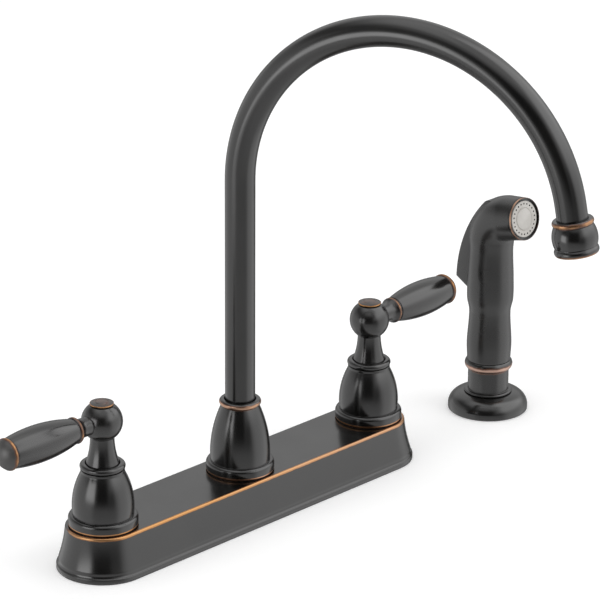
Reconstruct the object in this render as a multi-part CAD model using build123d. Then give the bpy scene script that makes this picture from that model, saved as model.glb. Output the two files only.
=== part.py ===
from build123d import *
from math import atan2, cos, radians, sin, sqrt
import os

# Two handle kitchen faucet with a high arched spout and a side sprayer.
# Millimetres. The origin is on the deck under the spout, +Z up, -Y towards the user, and
# +X runs along the deck plate to the cold handle and the sprayer.

# ---- Where the pieces stand on the deck ----
HOLE_PITCH = 101.6          # 4 in from one deck hole to the next
DECK_THICKNESS = 12.0       # sink rim and counter that the nuts clamp
RUNNING_GAP = 0.05          # radial, shaft in its hole
SEAT_GAP = 0.3              # between pieces that move past each other
THREAD_GAP = 0.05           # radial, nut on its thread
CUT_PAST = 1.0              # how far a cut runs beyond the piece that it cuts

# ---- Deck plate: a long hollow cover with round ends ----
PLATE_HEIGHT = 24.0
PLATE_TOP_R = 20.3
PLATE_FOOT_R = 25.2
PLATE_WALL = 2.2
PLATE_EDGE_ROUND = 0.9
FOOT_LIP_HEIGHT = 2.8       # upright band at the very foot
FOOT_COVE_HEIGHT = 2.4      # hollow step between the band and the sloping side
FOOT_COVE_DEPTH = 1.1
PLATE_SIDE_HOLLOW = 0.5     # how far the sloping side bows inwards
GASKET_THICKNESS = 2.0
GASKET_WIDTH = 5.0

# ---- Bells: the turned covers on the plate ----
FLANGE_R = 18.6
FLANGE_HEIGHT = 6.2
FLANGE_EDGE_ROUND = 1.4
FLANGE_FOOT_INSET = 0.8     # the flange stands on a slightly smaller foot
FLANGE_FOOT_HEIGHT = 0.7
BELL_FOOT_R = 16.3
BELL_BULGE = 1.9            # how far the wall swells out from a straight cone
BELL_WALL = 2.2
HANDLE_BELL_RISE = 24.2     # from the flange's top to the neck of the bell
HANDLE_BELL_NECK_R = 11.4
BELL_BEAD_R = 12.1
BELL_BEAD_HEIGHT = 3.4
BELL_STEP_HEIGHT = 1.4      # small ring under the bead
BELL_STEP_R = 11.7
SPOUT_BELL_RISE = 31.8
SPOUT_BELL_NECK_R = 10.2
SPOUT_RING_R = 11.4
SPOUT_RING_HEIGHT = 3.4
SPOUT_RING_GAP = 0.5        # open line between the ring and the turning tube

# ---- Valve bodies, shanks and mounting hardware ----
SHANK_R = 10.4
SHANK_TAIL_R = 9.9          # where the supply line screws on
SHANK_LENGTH = 60.0
SHANK_TAIL_LENGTH = 22.0
SHANK_BORE_R = 5.5
VALVE_SHOULDER_R = 15.0
VALVE_SHOULDER_HEIGHT = 5.0
VALVE_BARREL_R = 12.2
VALVE_BARREL_TOP = 31.0
VALVE_BORE_R = 9.0
CHAMBER_FLOOR = 9.0
PORT_HEIGHT = 13.4          # centre line of the crossover tubes
PORT_BOSS_R = 6.2
PORT_BOSS_REACH = 20.0
TUBE_SOCKET_DEPTH = 5.0
CROSSOVER_R = 4.0
CROSSOVER_BORE_R = 3.1
PLATE_HOLE_GAP = 0.5
WASHER_R = 19.0
WASHER_THICKNESS = 2.0
NUT_HEIGHT = 8.0
NUT_FLATS = 31.0            # across the flats

# ---- Quarter turn cartridges ----
CARTRIDGE_NOSE_R = 6.9
CARTRIDGE_NOSE_LENGTH = 7.2
CARTRIDGE_LIP_R = 10.6
CARTRIDGE_LIP_HEIGHT = 2.0
CARTRIDGE_NECK_R = 6.3
CARTRIDGE_NECK_TOP = 47.0
CARTRIDGE_FLOOR = 1.6
DISC_R = 5.4
DISC_GAP = 0.3
DISC_THICKNESS = 3.0
DISC_PORT_R = 1.3
CARTRIDGE_INLET_R = 3.8
SEAL_THICKNESS = 0.8
BONNET_R = 13.5
BONNET_SKIRT = 5.0
BONNET_LIP = 2.6
STEM_R = 4.0
STEM_TOP = 72.0
STEM_FOOT_R = 5.2
STEM_FOOT_HEIGHT = 2.0
SCREW_R = 1.7
SCREW_LENGTH = 13.0
SCREW_HEAD_R = 3.3
SCREW_HEAD_HEIGHT = 2.6
SCREW_DRIVE_R = 1.9
SCREW_DRIVE_DEPTH = 1.4

# ---- Handles: ball on a waisted neck, barrel shaped lever ----
NECK_FOOT_R = 8.9
NECK_TOP_R = 6.4
NECK_FOOT_HEIGHT = 3.4      # straight foot that turns inside the bell's bead
NECK_WAIST = 0.6            # how far the neck bows inwards
NECK_GAP = 0.35
BALL_R = 11.0
BALL_HEIGHT = 82.5          # ball centre above the deck
HUB_WEB = 3.2               # floor that the handle screw clamps
HUB_WELL_R = 4.9
CAP_R = 6.35
CAP_RIM_HEIGHT = 1.3
CAP_CROWN = 0.9
CAP_PLUG_LENGTH = 3.5
LEVER_SWEEP = 2.0           # degrees that the closed levers lean back from the plate's line
LEVER_TENON_R = 3.4
LEVER_TENON_END = 5.9       # from the ball's centre
LEVER_NECK_R = 5.1
LEVER_NECK_END = 13.8
LEVER_FLARE_R = 6.7
LEVER_FLARE_LENGTH = 4.0
LEVER_FLARE_HOLLOW = 0.4
LEVER_BEAD_R = 7.2
LEVER_BEAD_LENGTH = 2.2
LEVER_GROOVE_R = 6.5
LEVER_GROOVE_LENGTH = 0.8
LEVER_ROOT_R = 6.9
LEVER_BELLY_R = 9.9
LEVER_BELLY_AT = 23.0       # from the root of the barrel to its fattest place
LEVER_TIP_R = 8.1
LEVER_BARREL_LENGTH = 42.0
LEVER_CAP_BEAD_R = 8.7
LEVER_CAP_BEAD_LENGTH = 2.4
LEVER_CAP_DOME = 4.4
LEVER_CAP_PLUG_R = 4.5
LEVER_CAP_PLUG_LENGTH = 8.0

# ---- Spout ----
SPOUT_TUBE_R = 8.15
SPOUT_TUBE_WALL = 1.2
SPOUT_ARCH_R = 94.9
SPOUT_ARCH_HEIGHT = 189.7   # centre of the arch above the deck
SPOUT_ARCH_TURN = 170.0     # degrees from the upright leg to the outlet
SPOUT_SWING = 17.5          # degrees from straight ahead, towards the cold side
SPOUT_BARREL_R = 11.5
SPOUT_BARREL_FOOT = 3.0
SPOUT_BARREL_TOP = 40.0
SPOUT_BORE_R = 9.55
SPOUT_BORE_FLOOR = 24.0
SPOUT_GLIDE_THICKNESS = 0.6
SPOUT_COLLAR_R = 11.0
SPOUT_COLLAR_HEIGHT = 1.4
SPOUT_STEM_BORE_R = 6.9
SPOUT_TUBE_SEAT = 6.0       # how deep the tube sits in the stem
SPOUT_NUT_R = 12.9
SPOUT_NUT_SKIRT = 6.0
SPOUT_NUT_LIP = 2.0
ORING_WIRE_R = 0.65
ORING_GROOVE_WIDTH = 1.8
ORING_LOW = 4.0             # lower groove above the stem's foot
ORING_STEP = 5.0
DIVERTER_BORE_R = 6.0
DIVERTER_FLOOR = 8.0
DIVERTER_HEIGHT = 11.0
DIVERTER_LAND = 2.5         # full width ends of the piston
DIVERTER_WAIST_R = 4.6
DIVERTER_BORE = 2.0
NIPPLE_R = 6.4
NIPPLE_BORE_R = 3.0
NIPPLE_LENGTH = 30.0

# ---- Aerator at the spout's end, measured along its own axis from the end of the arch ----
HOUSING_TOP = 6.4
HOUSING_RING_R = 10.9
HOUSING_RING_LENGTH = 3.0
HOUSING_NECK_R = 10.2
HOUSING_BULB_R = 11.9
HOUSING_BULB_LENGTH = 11.2
HOUSING_BULB_AT = 6.7       # from the ring to the bulb's fattest place
HOUSING_FOOT_R = 11.2
HOUSING_GROOVE = 0.5
HOUSING_RIM_R = 11.7
HOUSING_RIM_LENGTH = 3.6
HOUSING_SOCKET_DEPTH = 5.0
HOUSING_THROAT_R = 6.6
SHELL_THREAD_R = 10.0
SHELL_THREAD_LENGTH = 4.1
SHELL_NECK_R = 10.9
SHELL_INNER_R = 8.0
SHELL_LEDGE = 1.0
INSERT_R = 9.0
INSERT_RECESS = 1.0
INSERT_HOLE_R = 0.9
INSERT_INNER_ROW_R = 3.0
INSERT_INNER_HOLES = 6
INSERT_OUTER_ROW_R = 6.4
INSERT_OUTER_HOLES = 12
AERATOR_WASHER_THICKNESS = 1.2

# ---- Sprayer base ----
SPRAY_FLANGE_R = 23.0
SPRAY_FLANGE_HEIGHT = 10.4
SPRAY_FLANGE_EDGE = 3.0     # upright edge at the deck
SPRAY_FLANGE_CROWN_R = 17.6 # where the dome levels out
SPRAY_FLANGE_CROWN_DROP = 0.9
SPRAY_FLANGE_BULGE = 1.2
SPRAY_FLANGE_WALL = 2.0
SPRAY_STEP_R = 13.9
SPRAY_STEP_HEIGHT = 1.6
COLLAR_R = 11.75
COLLAR_STEP_R = 13.2        # edge radius of the rounded ring on the flange
COLLAR_BEAD_R = 13.8
COLLAR_BEAD_ROUND = 1.2
COLLAR_BEAD_LOW = 25.2
COLLAR_TOP = 30.3
GUIDE_BORE_R = 9.0
GUIDE_SHANK_LENGTH = 42.0
GUIDE_NUT_FLATS = 34.0

# ---- Spray wand ----
WAND_FOOT_R = 12.5
WAND_SWELL_R = 12.9
WAND_SWELL_AT = 10.4        # heights above the wand's foot
WAND_WAIST_R = 11.9
WAND_WAIST_AT = 29.4
WAND_GRIP_R = 13.3
WAND_GRIP_AT = 37.4
WAND_PALM_R = 13.2
WAND_PALM_AT = 50.4
WAND_NECK_R = 12.5
WAND_NECK_AT = 66.4
WAND_BEND_RISE = 73.3       # where the head starts to bend forwards
WAND_BEND_R = 16.0
WAND_BEND_SECTION_R = 13.1
WAND_HEAD_TURN = 79.0       # degrees from upright to the spray direction
WAND_HEAD_LENGTH = 11.9     # end of the bend to the spray face
WAND_HEAD_R = 12.3
WAND_BORE_R = 5.0
WAND_BORE_DEPTH = 69.4
PASSAGE_R = 3.0             # slanted way from the bore to the head
PASSAGE_RISE = 67.4
PASSAGE_TURN = 45.0
PASSAGE_LENGTH = 27.0
HEAD_CHAMBER_R = 9.6
HEAD_CHAMBER_DEPTH = 9.0
SPRAY_RIM_R = 12.2
SPRAY_RIM_INNER_R = 10.4
SPRAY_RIM_LENGTH = 1.8
SPRAY_FACE_RECESS = 0.6
SPRAY_PLUG_DEPTH = 1.6      # skirt of the face inside the head
SPRAY_PLUG_WALL = 1.0
SPRAY_BUTTON_R = 5.4
SPRAY_BUTTON_PROUD = 0.5
SPRAY_HOLE_RING_R = 8.0
SPRAY_HOLE_R = 0.45
SPRAY_HOLES = 22
COUPLING_R = 8.2
COUPLING_LENGTH = 18.0
COUPLING_THREAD_LENGTH = 10.0
HOSE_BARB_R = 4.4
HOSE_BARB_LENGTH = 14.0
HOSE_BORE_R = 2.8

# ---- Spray lever and its valve ----
TRIGGER_WIDTH = 11.0
TRIGGER_GAP = 0.35          # all round it in its slot
TRIGGER_HEAD_R = 7.0
TRIGGER_PIVOT_BACK = -2.5   # pivot from the wand's axis, + is away from the user
TRIGGER_PIVOT_RISE = 90.8   # pivot above the wand's foot
TRIGGER_THROW = 5.0         # degrees
TRIGGER_DROP = 44.6         # pivot down to the sharp corner
TRIGGER_CORNER_BACK = 24.4  # pivot back to the sharp corner
TRIGGER_DEPTH = 9.5         # corner to the inner face
TRIGGER_TOE = 5.2           # how far the lower edge slopes down inwards
TRIGGER_BOW = 5.0           # how far the outer edge bows out
TRIGGER_INNER_BOW = 2.6     # hollow enough to clear the slot when pressed
TRIGGER_INNER_BACK = 6.0    # where the inner edge leaves the round head
TRIGGER_INNER_DROP = 9.4
TRIGGER_CROWN_TURN = 55.0   # degrees above level where the outer edge leaves it
TRIGGER_SLOT_WALL = 1.0     # between the slot and the bore
TRIGGER_SLOT_BEND = 22.0    # pivot down to where the slot floor turns in
TRIGGER_FOOT_ROOM = 2.2     # under the toe, which dips as it is pressed
TRIGGER_PIN_R = 1.5
TRIGGER_PIN_LENGTH = 18.0
VALVE_DROP = 29.5           # pivot down to the plunger
PLUNGER_R = 2.4
PLUNGER_LENGTH = 14.0
PLUNGER_NOSE = 1.2

# ---- Heights that follow ----
flange_top = PLATE_HEIGHT + FLANGE_HEIGHT
handle_bell_neck = flange_top + HANDLE_BELL_RISE
handle_bell_top = handle_bell_neck + BELL_STEP_HEIGHT + BELL_BEAD_HEIGHT
spout_bell_neck = flange_top + SPOUT_BELL_RISE
spout_bell_top = spout_bell_neck + SPOUT_RING_HEIGHT
plate_ceiling = PLATE_HEIGHT - PLATE_WALL

nose_low = CHAMBER_FLOOR + SEAL_THICKNESS
nose_top = nose_low + CARTRIDGE_NOSE_LENGTH
fixed_disc_low = nose_low + CARTRIDGE_FLOOR
turning_disc_low = fixed_disc_low + DISC_THICKNESS
stem_low = turning_disc_low + DISC_THICKNESS
stem_foot_top = stem_low + STEM_FOOT_HEIGHT
cartridge_lip_top = VALVE_BARREL_TOP + CARTRIDGE_LIP_HEIGHT

hub_foot = handle_bell_top - NECK_FOOT_HEIGHT
hub_web_low = STEM_TOP + SEAT_GAP
hub_web_top = hub_web_low + HUB_WEB
cap_seat = BALL_HEIGHT + sqrt(BALL_R**2 - CAP_R**2)
bead_start = LEVER_NECK_END + LEVER_FLARE_LENGTH
bead_end = bead_start + LEVER_BEAD_LENGTH
barrel_root = bead_end + LEVER_GROOVE_LENGTH
barrel_end = barrel_root + LEVER_BARREL_LENGTH

stem_foot = SPOUT_BORE_FLOOR + SEAT_GAP
collar_foot = SPOUT_BARREL_TOP + SPOUT_GLIDE_THICKNESS
collar_top = collar_foot + SPOUT_COLLAR_HEIGHT
tube_foot = collar_top - SPOUT_TUBE_SEAT
housing_ring_end = HOUSING_TOP + HOUSING_RING_LENGTH
bulb_end = housing_ring_end + HOUSING_BULB_LENGTH
bulb_middle = housing_ring_end + HOUSING_BULB_AT
shell_top = bulb_end - SHELL_THREAD_LENGTH
washer_low = shell_top - AERATOR_WASHER_THICKNESS

wand_foot = COLLAR_TOP + SEAT_GAP
slot_floor = WAND_BORE_R + TRIGGER_SLOT_WALL
spray_x = 2 * HOLE_PITCH


# ---------------------------------------------------------------- helpers
def turned(*edges):
    """A body turned about Z from edges drawn as (radius, height)."""
    return revolve(Plane.XZ * make_face(list(edges)), Axis.Z)


def closed(*points):
    """Straight edges round the given (radius, height) points, closed."""
    return Polyline(*points, close=True).edges()


def ring(outer, inner, low, high):
    """A plain ring or bush standing on the Z axis."""
    return turned(*closed((inner, low), (outer, low), (outer, high), (inner, high)))


def rod(radius, low, high):
    """A plain round bar on the Z axis."""
    return Pos(0, 0, (low + high) / 2) * Cylinder(radius, high - low)


def half_round(radius, low, high):
    """The half round nose of a bead that reaches out to the given radius."""
    return swelling(radius - (high - low) / 2, radius, low, high)


def swelling(edge, radius, low, high):
    """A rounded edge that starts and ends at one radius and reaches out to another."""
    return ThreePointArc((edge, low), (radius, (low + high) / 2), (edge, high))


def dome_edge(radius, foot, top):
    """A round dome's edge from its rim to its crown on the axis."""
    rise = top - foot
    ball = (radius**2 + rise**2) / (2 * rise)
    half = atan2(radius, ball - rise) / 2
    middle = (ball * sin(half), top - ball * (1 - cos(half)))
    return ThreePointArc((radius, foot), middle, (0, top))


def hex_nut(flats, bore, low, high):
    """A hexagon nut on the Z axis."""
    body = extrude(RegularPolygon(flats / 2, 6, major_radius=False), high - low)
    return Pos(0, 0, low) * body - rod(bore, low - CUT_PAST, high + CUT_PAST)


def save(name, shape, *more):
    """Write one node; several solids stay separate in it."""
    solids = [s for piece in (shape, *more) for s in piece.solids()]
    whole = solids[0] if len(solids) == 1 else Compound(children=solids)
    export_step(whole, f"parts/{name}.step")


# ---------------------------------------------------------------- deck plate
def round_the_plate(face):
    """Carry a half profile, drawn as (radius, height), all round the plate."""
    half_turn = revolve(Plane.XZ * face, Axis.Z, 180)
    both_sides = face + mirror(face, Plane.YZ)
    bar = extrude(Plane.YZ * both_sides, HOLE_PITCH, both=True)
    right_end = Pos(HOLE_PITCH) * Rot(0, 0, -90) * half_turn
    left_end = Pos(-HOLE_PITCH) * Rot(0, 0, 90) * half_turn
    return bar + right_end + left_end


def plate_profile():
    """Half of the plate's section: foot band, cove and gently hollow side."""
    cove_top = FOOT_LIP_HEIGHT + FOOT_COVE_HEIGHT
    cove_r = PLATE_FOOT_R - FOOT_COVE_DEPTH
    shoulder = PLATE_HEIGHT - PLATE_EDGE_ROUND
    lip_round = FOOT_COVE_DEPTH / 2
    edges = [
        Line((0, 0), (PLATE_FOOT_R, 0)),
        Line((PLATE_FOOT_R, 0), (PLATE_FOOT_R, FOOT_LIP_HEIGHT - lip_round)),
        RadiusArc((PLATE_FOOT_R, FOOT_LIP_HEIGHT - lip_round),
                  (PLATE_FOOT_R - lip_round, FOOT_LIP_HEIGHT), -lip_round),
        SagittaArc((PLATE_FOOT_R - lip_round, FOOT_LIP_HEIGHT), (cove_r, cove_top), lip_round / 2),
        SagittaArc((cove_r, cove_top), (PLATE_TOP_R, shoulder), PLATE_SIDE_HOLLOW),
        RadiusArc((PLATE_TOP_R, shoulder),
                  (PLATE_TOP_R - PLATE_EDGE_ROUND, PLATE_HEIGHT), -PLATE_EDGE_ROUND),
        Line((PLATE_TOP_R - PLATE_EDGE_ROUND, PLATE_HEIGHT), (0, PLATE_HEIGHT)),
        Line((0, PLATE_HEIGHT), (0, 0)),
    ]
    return make_face(edges)


def plate_hollow_profile():
    """The room under the plate, a wall's thickness inside its side and top."""
    foot_r = PLATE_FOOT_R - FOOT_COVE_DEPTH - PLATE_WALL
    top_r = PLATE_TOP_R - PLATE_WALL
    return make_face(closed((0, 0), (foot_r, 0), (top_r, plate_ceiling), (0, plate_ceiling)))


def deck_plate():
    plate = round_the_plate(plate_profile()) - round_the_plate(plate_hollow_profile())
    valve_hole = rod(VALVE_BARREL_R + PLATE_HOLE_GAP, plate_ceiling - CUT_PAST, PLATE_HEIGHT + CUT_PAST)
    spout_hole = rod(SPOUT_BARREL_R + PLATE_HOLE_GAP, plate_ceiling - CUT_PAST, PLATE_HEIGHT + CUT_PAST)
    return plate - Pos(-HOLE_PITCH) * valve_hole - Pos(HOLE_PITCH) * valve_hole - spout_hole


def deck_gasket():
    """Soft band that lies inside the plate's foot."""
    side_slope = (PLATE_FOOT_R - FOOT_COVE_DEPTH - PLATE_TOP_R) / plate_ceiling
    outer = PLATE_FOOT_R - FOOT_COVE_DEPTH - PLATE_WALL - side_slope * GASKET_THICKNESS - THREAD_GAP
    inner = outer - GASKET_WIDTH
    band = closed((0, 0), (outer, 0), (outer, GASKET_THICKNESS), (0, GASKET_THICKNESS))
    window = closed((0, 0), (inner, 0), (inner, GASKET_THICKNESS), (0, GASKET_THICKNESS))
    return round_the_plate(make_face(band)) - round_the_plate(make_face(window))


# ---------------------------------------------------------------- bells
def flange_edges(inner):
    """The flange at a bell's foot, from its inside edge up to the bell's wall."""
    foot_r = FLANGE_R - FLANGE_FOOT_INSET
    foot_top = PLATE_HEIGHT + FLANGE_FOOT_HEIGHT
    turn = FLANGE_EDGE_ROUND
    return [
        Line((inner, PLATE_HEIGHT), (foot_r, PLATE_HEIGHT)),
        Line((foot_r, PLATE_HEIGHT), (foot_r, foot_top)),
        Line((foot_r, foot_top), (FLANGE_R, foot_top)),
        Line((FLANGE_R, foot_top), (FLANGE_R, flange_top - turn)),
        RadiusArc((FLANGE_R, flange_top - turn), (FLANGE_R - turn, flange_top), -turn),
        Line((FLANGE_R - turn, flange_top), (BELL_FOOT_R, flange_top)),
    ]


def handle_bell():
    """Domed bell with a bead round its neck; the handle's foot turns in the bead."""
    inner_foot = BELL_FOOT_R - BELL_WALL
    inner_neck = NECK_FOOT_R + NECK_GAP
    step_top = handle_bell_neck + BELL_STEP_HEIGHT
    bead_edge = BELL_BEAD_R - BELL_BEAD_HEIGHT / 2
    neck_floor = handle_bell_neck - BELL_WALL
    edges = flange_edges(inner_foot) + [
        SagittaArc((BELL_FOOT_R, flange_top), (HANDLE_BELL_NECK_R, handle_bell_neck), -BELL_BULGE),
        Line((HANDLE_BELL_NECK_R, handle_bell_neck), (BELL_STEP_R, handle_bell_neck)),
        Line((BELL_STEP_R, handle_bell_neck), (BELL_STEP_R, step_top)),
        Line((BELL_STEP_R, step_top), (bead_edge, step_top)),
        half_round(BELL_BEAD_R, step_top, handle_bell_top),
        Line((bead_edge, handle_bell_top), (inner_neck, handle_bell_top)),
        Line((inner_neck, handle_bell_top), (inner_neck, neck_floor)),
        SagittaArc((inner_neck, neck_floor), (inner_foot, flange_top), BELL_BULGE),
        Line((inner_foot, flange_top), (inner_foot, PLATE_HEIGHT)),
    ]
    return turned(*edges)


def spout_bell():
    """Taller bell that ends in a ring round the spout tube."""
    inner_foot = BELL_FOOT_R - BELL_WALL
    inner_neck = SPOUT_TUBE_R + SPOUT_RING_GAP
    neck_floor = spout_bell_neck - BELL_WALL
    ring_edge = SPOUT_RING_R - SPOUT_RING_HEIGHT / 2
    edges = flange_edges(inner_foot) + [
        SagittaArc((BELL_FOOT_R, flange_top), (SPOUT_BELL_NECK_R, spout_bell_neck), -BELL_BULGE),
        Line((SPOUT_BELL_NECK_R, spout_bell_neck), (ring_edge, spout_bell_neck)),
        half_round(SPOUT_RING_R, spout_bell_neck, spout_bell_top),
        Line((ring_edge, spout_bell_top), (inner_neck, spout_bell_top)),
        Line((inner_neck, spout_bell_top), (inner_neck, neck_floor)),
        SagittaArc((inner_neck, neck_floor), (inner_foot, flange_top), BELL_BULGE),
        Line((inner_foot, flange_top), (inner_foot, PLATE_HEIGHT)),
    ]
    return turned(*edges)


# ---------------------------------------------------------------- valves under the bells
def valve_body(side):
    """Brass body with its shank; side is -1 for hot and +1 for cold."""
    tail_top = SHANK_TAIL_LENGTH - SHANK_LENGTH
    body = rod(SHANK_TAIL_R, -SHANK_LENGTH, tail_top)
    body += rod(SHANK_R, tail_top, VALVE_SHOULDER_HEIGHT)
    body += rod(VALVE_SHOULDER_R, 0, VALVE_SHOULDER_HEIGHT)
    body += rod(VALVE_BARREL_R, VALVE_SHOULDER_HEIGHT, VALVE_BARREL_TOP)
    inwards = Pos(0, 0, PORT_HEIGHT) * Rot(0, -90 * side, 0)
    body += inwards * rod(PORT_BOSS_R, 0, PORT_BOSS_REACH)
    body -= rod(VALVE_BORE_R, CHAMBER_FLOOR, VALVE_BARREL_TOP + CUT_PAST)
    body -= rod(SHANK_BORE_R, -SHANK_LENGTH - CUT_PAST, CHAMBER_FLOOR)
    body -= inwards * rod(CROSSOVER_BORE_R, 0, PORT_BOSS_REACH)
    socket_floor = PORT_BOSS_REACH - TUBE_SOCKET_DEPTH
    body -= inwards * rod(CROSSOVER_R + RUNNING_GAP, socket_floor, PORT_BOSS_REACH + CUT_PAST)
    return Pos(side * HOLE_PITCH) * body


def crossover_tube(side):
    """Tube from a valve body to the spout body, seated in both sockets."""
    outer_end = HOLE_PITCH - PORT_BOSS_REACH + TUBE_SOCKET_DEPTH
    inner_end = PORT_BOSS_REACH - TUBE_SOCKET_DEPTH
    tube = ring(CROSSOVER_R, CROSSOVER_BORE_R, inner_end, outer_end)
    return Pos(0, 0, PORT_HEIGHT) * Rot(0, 90 * side, 0) * tube


def seat_seal(side):
    """Rubber ring under the cartridge."""
    seal = ring(CARTRIDGE_NOSE_R, CARTRIDGE_INLET_R, CHAMBER_FLOOR, nose_low)
    return Pos(side * HOLE_PITCH) * seal


def cartridge_body(side):
    """Turned shell that holds the two discs and guides the stem."""
    body = rod(CARTRIDGE_NOSE_R, nose_low, nose_top)
    body += rod(VALVE_BORE_R - RUNNING_GAP, nose_top, VALVE_BARREL_TOP)
    body += rod(CARTRIDGE_LIP_R, VALVE_BARREL_TOP, cartridge_lip_top)
    body += rod(CARTRIDGE_NECK_R, cartridge_lip_top, CARTRIDGE_NECK_TOP)
    body -= rod(STEM_R + RUNNING_GAP, stem_low, CARTRIDGE_NECK_TOP + CUT_PAST)
    body -= rod(DISC_R + DISC_GAP, fixed_disc_low, stem_foot_top + DISC_GAP)
    body -= rod(CARTRIDGE_INLET_R, nose_low - CUT_PAST, fixed_disc_low + CUT_PAST)
    window_height = nose_top - turning_disc_low
    window = Pos(0, 0, turning_disc_low + window_height / 2)
    body -= window * Box(2 * BONNET_R, CARTRIDGE_INLET_R, window_height)
    return Pos(side * HOLE_PITCH) * body


def disc(low):
    """Ceramic disc with two ports."""
    high = low + DISC_THICKNESS
    port = rod(DISC_PORT_R, low - CUT_PAST, high + CUT_PAST)
    plate = rod(DISC_R, low, high)
    for way in (-1, 1):
        plate -= Pos(0, way * DISC_R / 2) * port
    return plate


def fixed_disc(side):
    """Lower disc, held still in the cartridge."""
    return Pos(side * HOLE_PITCH) * disc(fixed_disc_low)


def bonnet_nut(side):
    """Cap nut that holds the cartridge down on the valve body."""
    low = VALVE_BARREL_TOP - BONNET_SKIRT
    lip_low = cartridge_lip_top
    lip_top = lip_low + BONNET_LIP
    nut = rod(BONNET_R, low, lip_top)
    nut -= rod(VALVE_BARREL_R + THREAD_GAP, low - CUT_PAST, lip_low)
    nut -= rod(CARTRIDGE_NECK_R + THREAD_GAP, lip_low - CUT_PAST, lip_top + CUT_PAST)
    return Pos(side * HOLE_PITCH) * nut


def mounting_washer(side):
    low = -DECK_THICKNESS - WASHER_THICKNESS
    return Pos(side * HOLE_PITCH) * ring(WASHER_R, SHANK_R + SEAT_GAP, low, -DECK_THICKNESS)


def mounting_nut(side):
    high = -DECK_THICKNESS - WASHER_THICKNESS
    return Pos(side * HOLE_PITCH) * hex_nut(NUT_FLATS, SHANK_R + THREAD_GAP, high - NUT_HEIGHT, high)


# ---------------------------------------------------------------- handles
def stem(side):
    """Spindle from the upper disc to the handle, drilled for the handle screw."""
    bar = rod(STEM_R, stem_foot_top, STEM_TOP) + rod(STEM_FOOT_R, stem_low, stem_foot_top)
    bar -= rod(SCREW_R + THREAD_GAP, STEM_TOP - SCREW_LENGTH, STEM_TOP + CUT_PAST)
    return Pos(side * HOLE_PITCH) * bar


def turning_disc(side):
    """Upper disc, carried round by the stem."""
    return Pos(side * HOLE_PITCH) * disc(turning_disc_low)


def handle_hub(side):
    """Waisted neck and ball, bored for the stem, the screw and the lever's tenon."""
    ball_meets_neck = BALL_HEIGHT - sqrt(BALL_R**2 - NECK_TOP_R**2)
    hub = turned(
        Line((0, hub_foot), (NECK_FOOT_R, hub_foot)),
        Line((NECK_FOOT_R, hub_foot), (NECK_FOOT_R, handle_bell_top)),
        SagittaArc((NECK_FOOT_R, handle_bell_top), (NECK_TOP_R, ball_meets_neck), NECK_WAIST),
        ThreePointArc((NECK_TOP_R, ball_meets_neck), (BALL_R, BALL_HEIGHT), (CAP_R, cap_seat)),
        Line((CAP_R, cap_seat), (0, cap_seat)),
        Line((0, cap_seat), (0, hub_foot)),
    )
    hub -= rod(STEM_R + THREAD_GAP, hub_foot - CUT_PAST, hub_web_low)
    hub -= rod(SCREW_R + SEAT_GAP, hub_web_low - CUT_PAST, hub_web_top + CUT_PAST)
    hub -= rod(HUB_WELL_R, hub_web_top, cap_seat + CUT_PAST)
    tenon_hole = rod(LEVER_TENON_R + THREAD_GAP, 0, BALL_R + CUT_PAST)
    hub -= lever_place(side) * tenon_hole
    return Pos(side * HOLE_PITCH) * hub


def lever_place(side):
    """Frame whose Z runs out along the lever from the ball's centre, on the handle's own axis."""
    heading = LEVER_SWEEP if side > 0 else 180 - LEVER_SWEEP
    return Pos(0, 0, BALL_HEIGHT) * Rot(0, 0, heading) * Rot(0, 90, 0)


def lever(side):
    """Tenon, flared neck, bead and barrel, turned in one piece and seated on the ball."""
    seat_r = BALL_R + THREAD_GAP
    tenon_seat = sqrt(seat_r**2 - LEVER_TENON_R**2)
    neck_seat = sqrt(seat_r**2 - LEVER_NECK_R**2)
    middle_r = (LEVER_TENON_R + LEVER_NECK_R) / 2
    belly = barrel_root + LEVER_BELLY_AT
    plug_floor = barrel_end - LEVER_CAP_PLUG_LENGTH
    plug_hole_r = LEVER_CAP_PLUG_R + THREAD_GAP
    body = turned(
        Line((0, LEVER_TENON_END), (LEVER_TENON_R, LEVER_TENON_END)),
        Line((LEVER_TENON_R, LEVER_TENON_END), (LEVER_TENON_R, tenon_seat)),
        ThreePointArc((LEVER_TENON_R, tenon_seat), (middle_r, sqrt(seat_r**2 - middle_r**2)),
                      (LEVER_NECK_R, neck_seat)),
        Line((LEVER_NECK_R, neck_seat), (LEVER_NECK_R, LEVER_NECK_END)),
        SagittaArc((LEVER_NECK_R, LEVER_NECK_END), (LEVER_FLARE_R, bead_start), LEVER_FLARE_HOLLOW),
        swelling(LEVER_FLARE_R, LEVER_BEAD_R, bead_start, bead_end),
        Line((LEVER_FLARE_R, bead_end), (LEVER_GROOVE_R, bead_end)),
        Line((LEVER_GROOVE_R, bead_end), (LEVER_GROOVE_R, barrel_root)),
        Line((LEVER_GROOVE_R, barrel_root), (LEVER_ROOT_R, barrel_root)),
        ThreePointArc((LEVER_ROOT_R, barrel_root), (LEVER_BELLY_R, belly),
                      (LEVER_TIP_R, barrel_end)),
        Line((LEVER_TIP_R, barrel_end), (plug_hole_r, barrel_end)),
        Line((plug_hole_r, barrel_end), (plug_hole_r, plug_floor)),
        Line((plug_hole_r, plug_floor), (0, plug_floor)),
        Line((0, plug_floor), (0, LEVER_TENON_END)),
    )
    return Pos(side * HOLE_PITCH) * lever_place(side) * body


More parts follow.
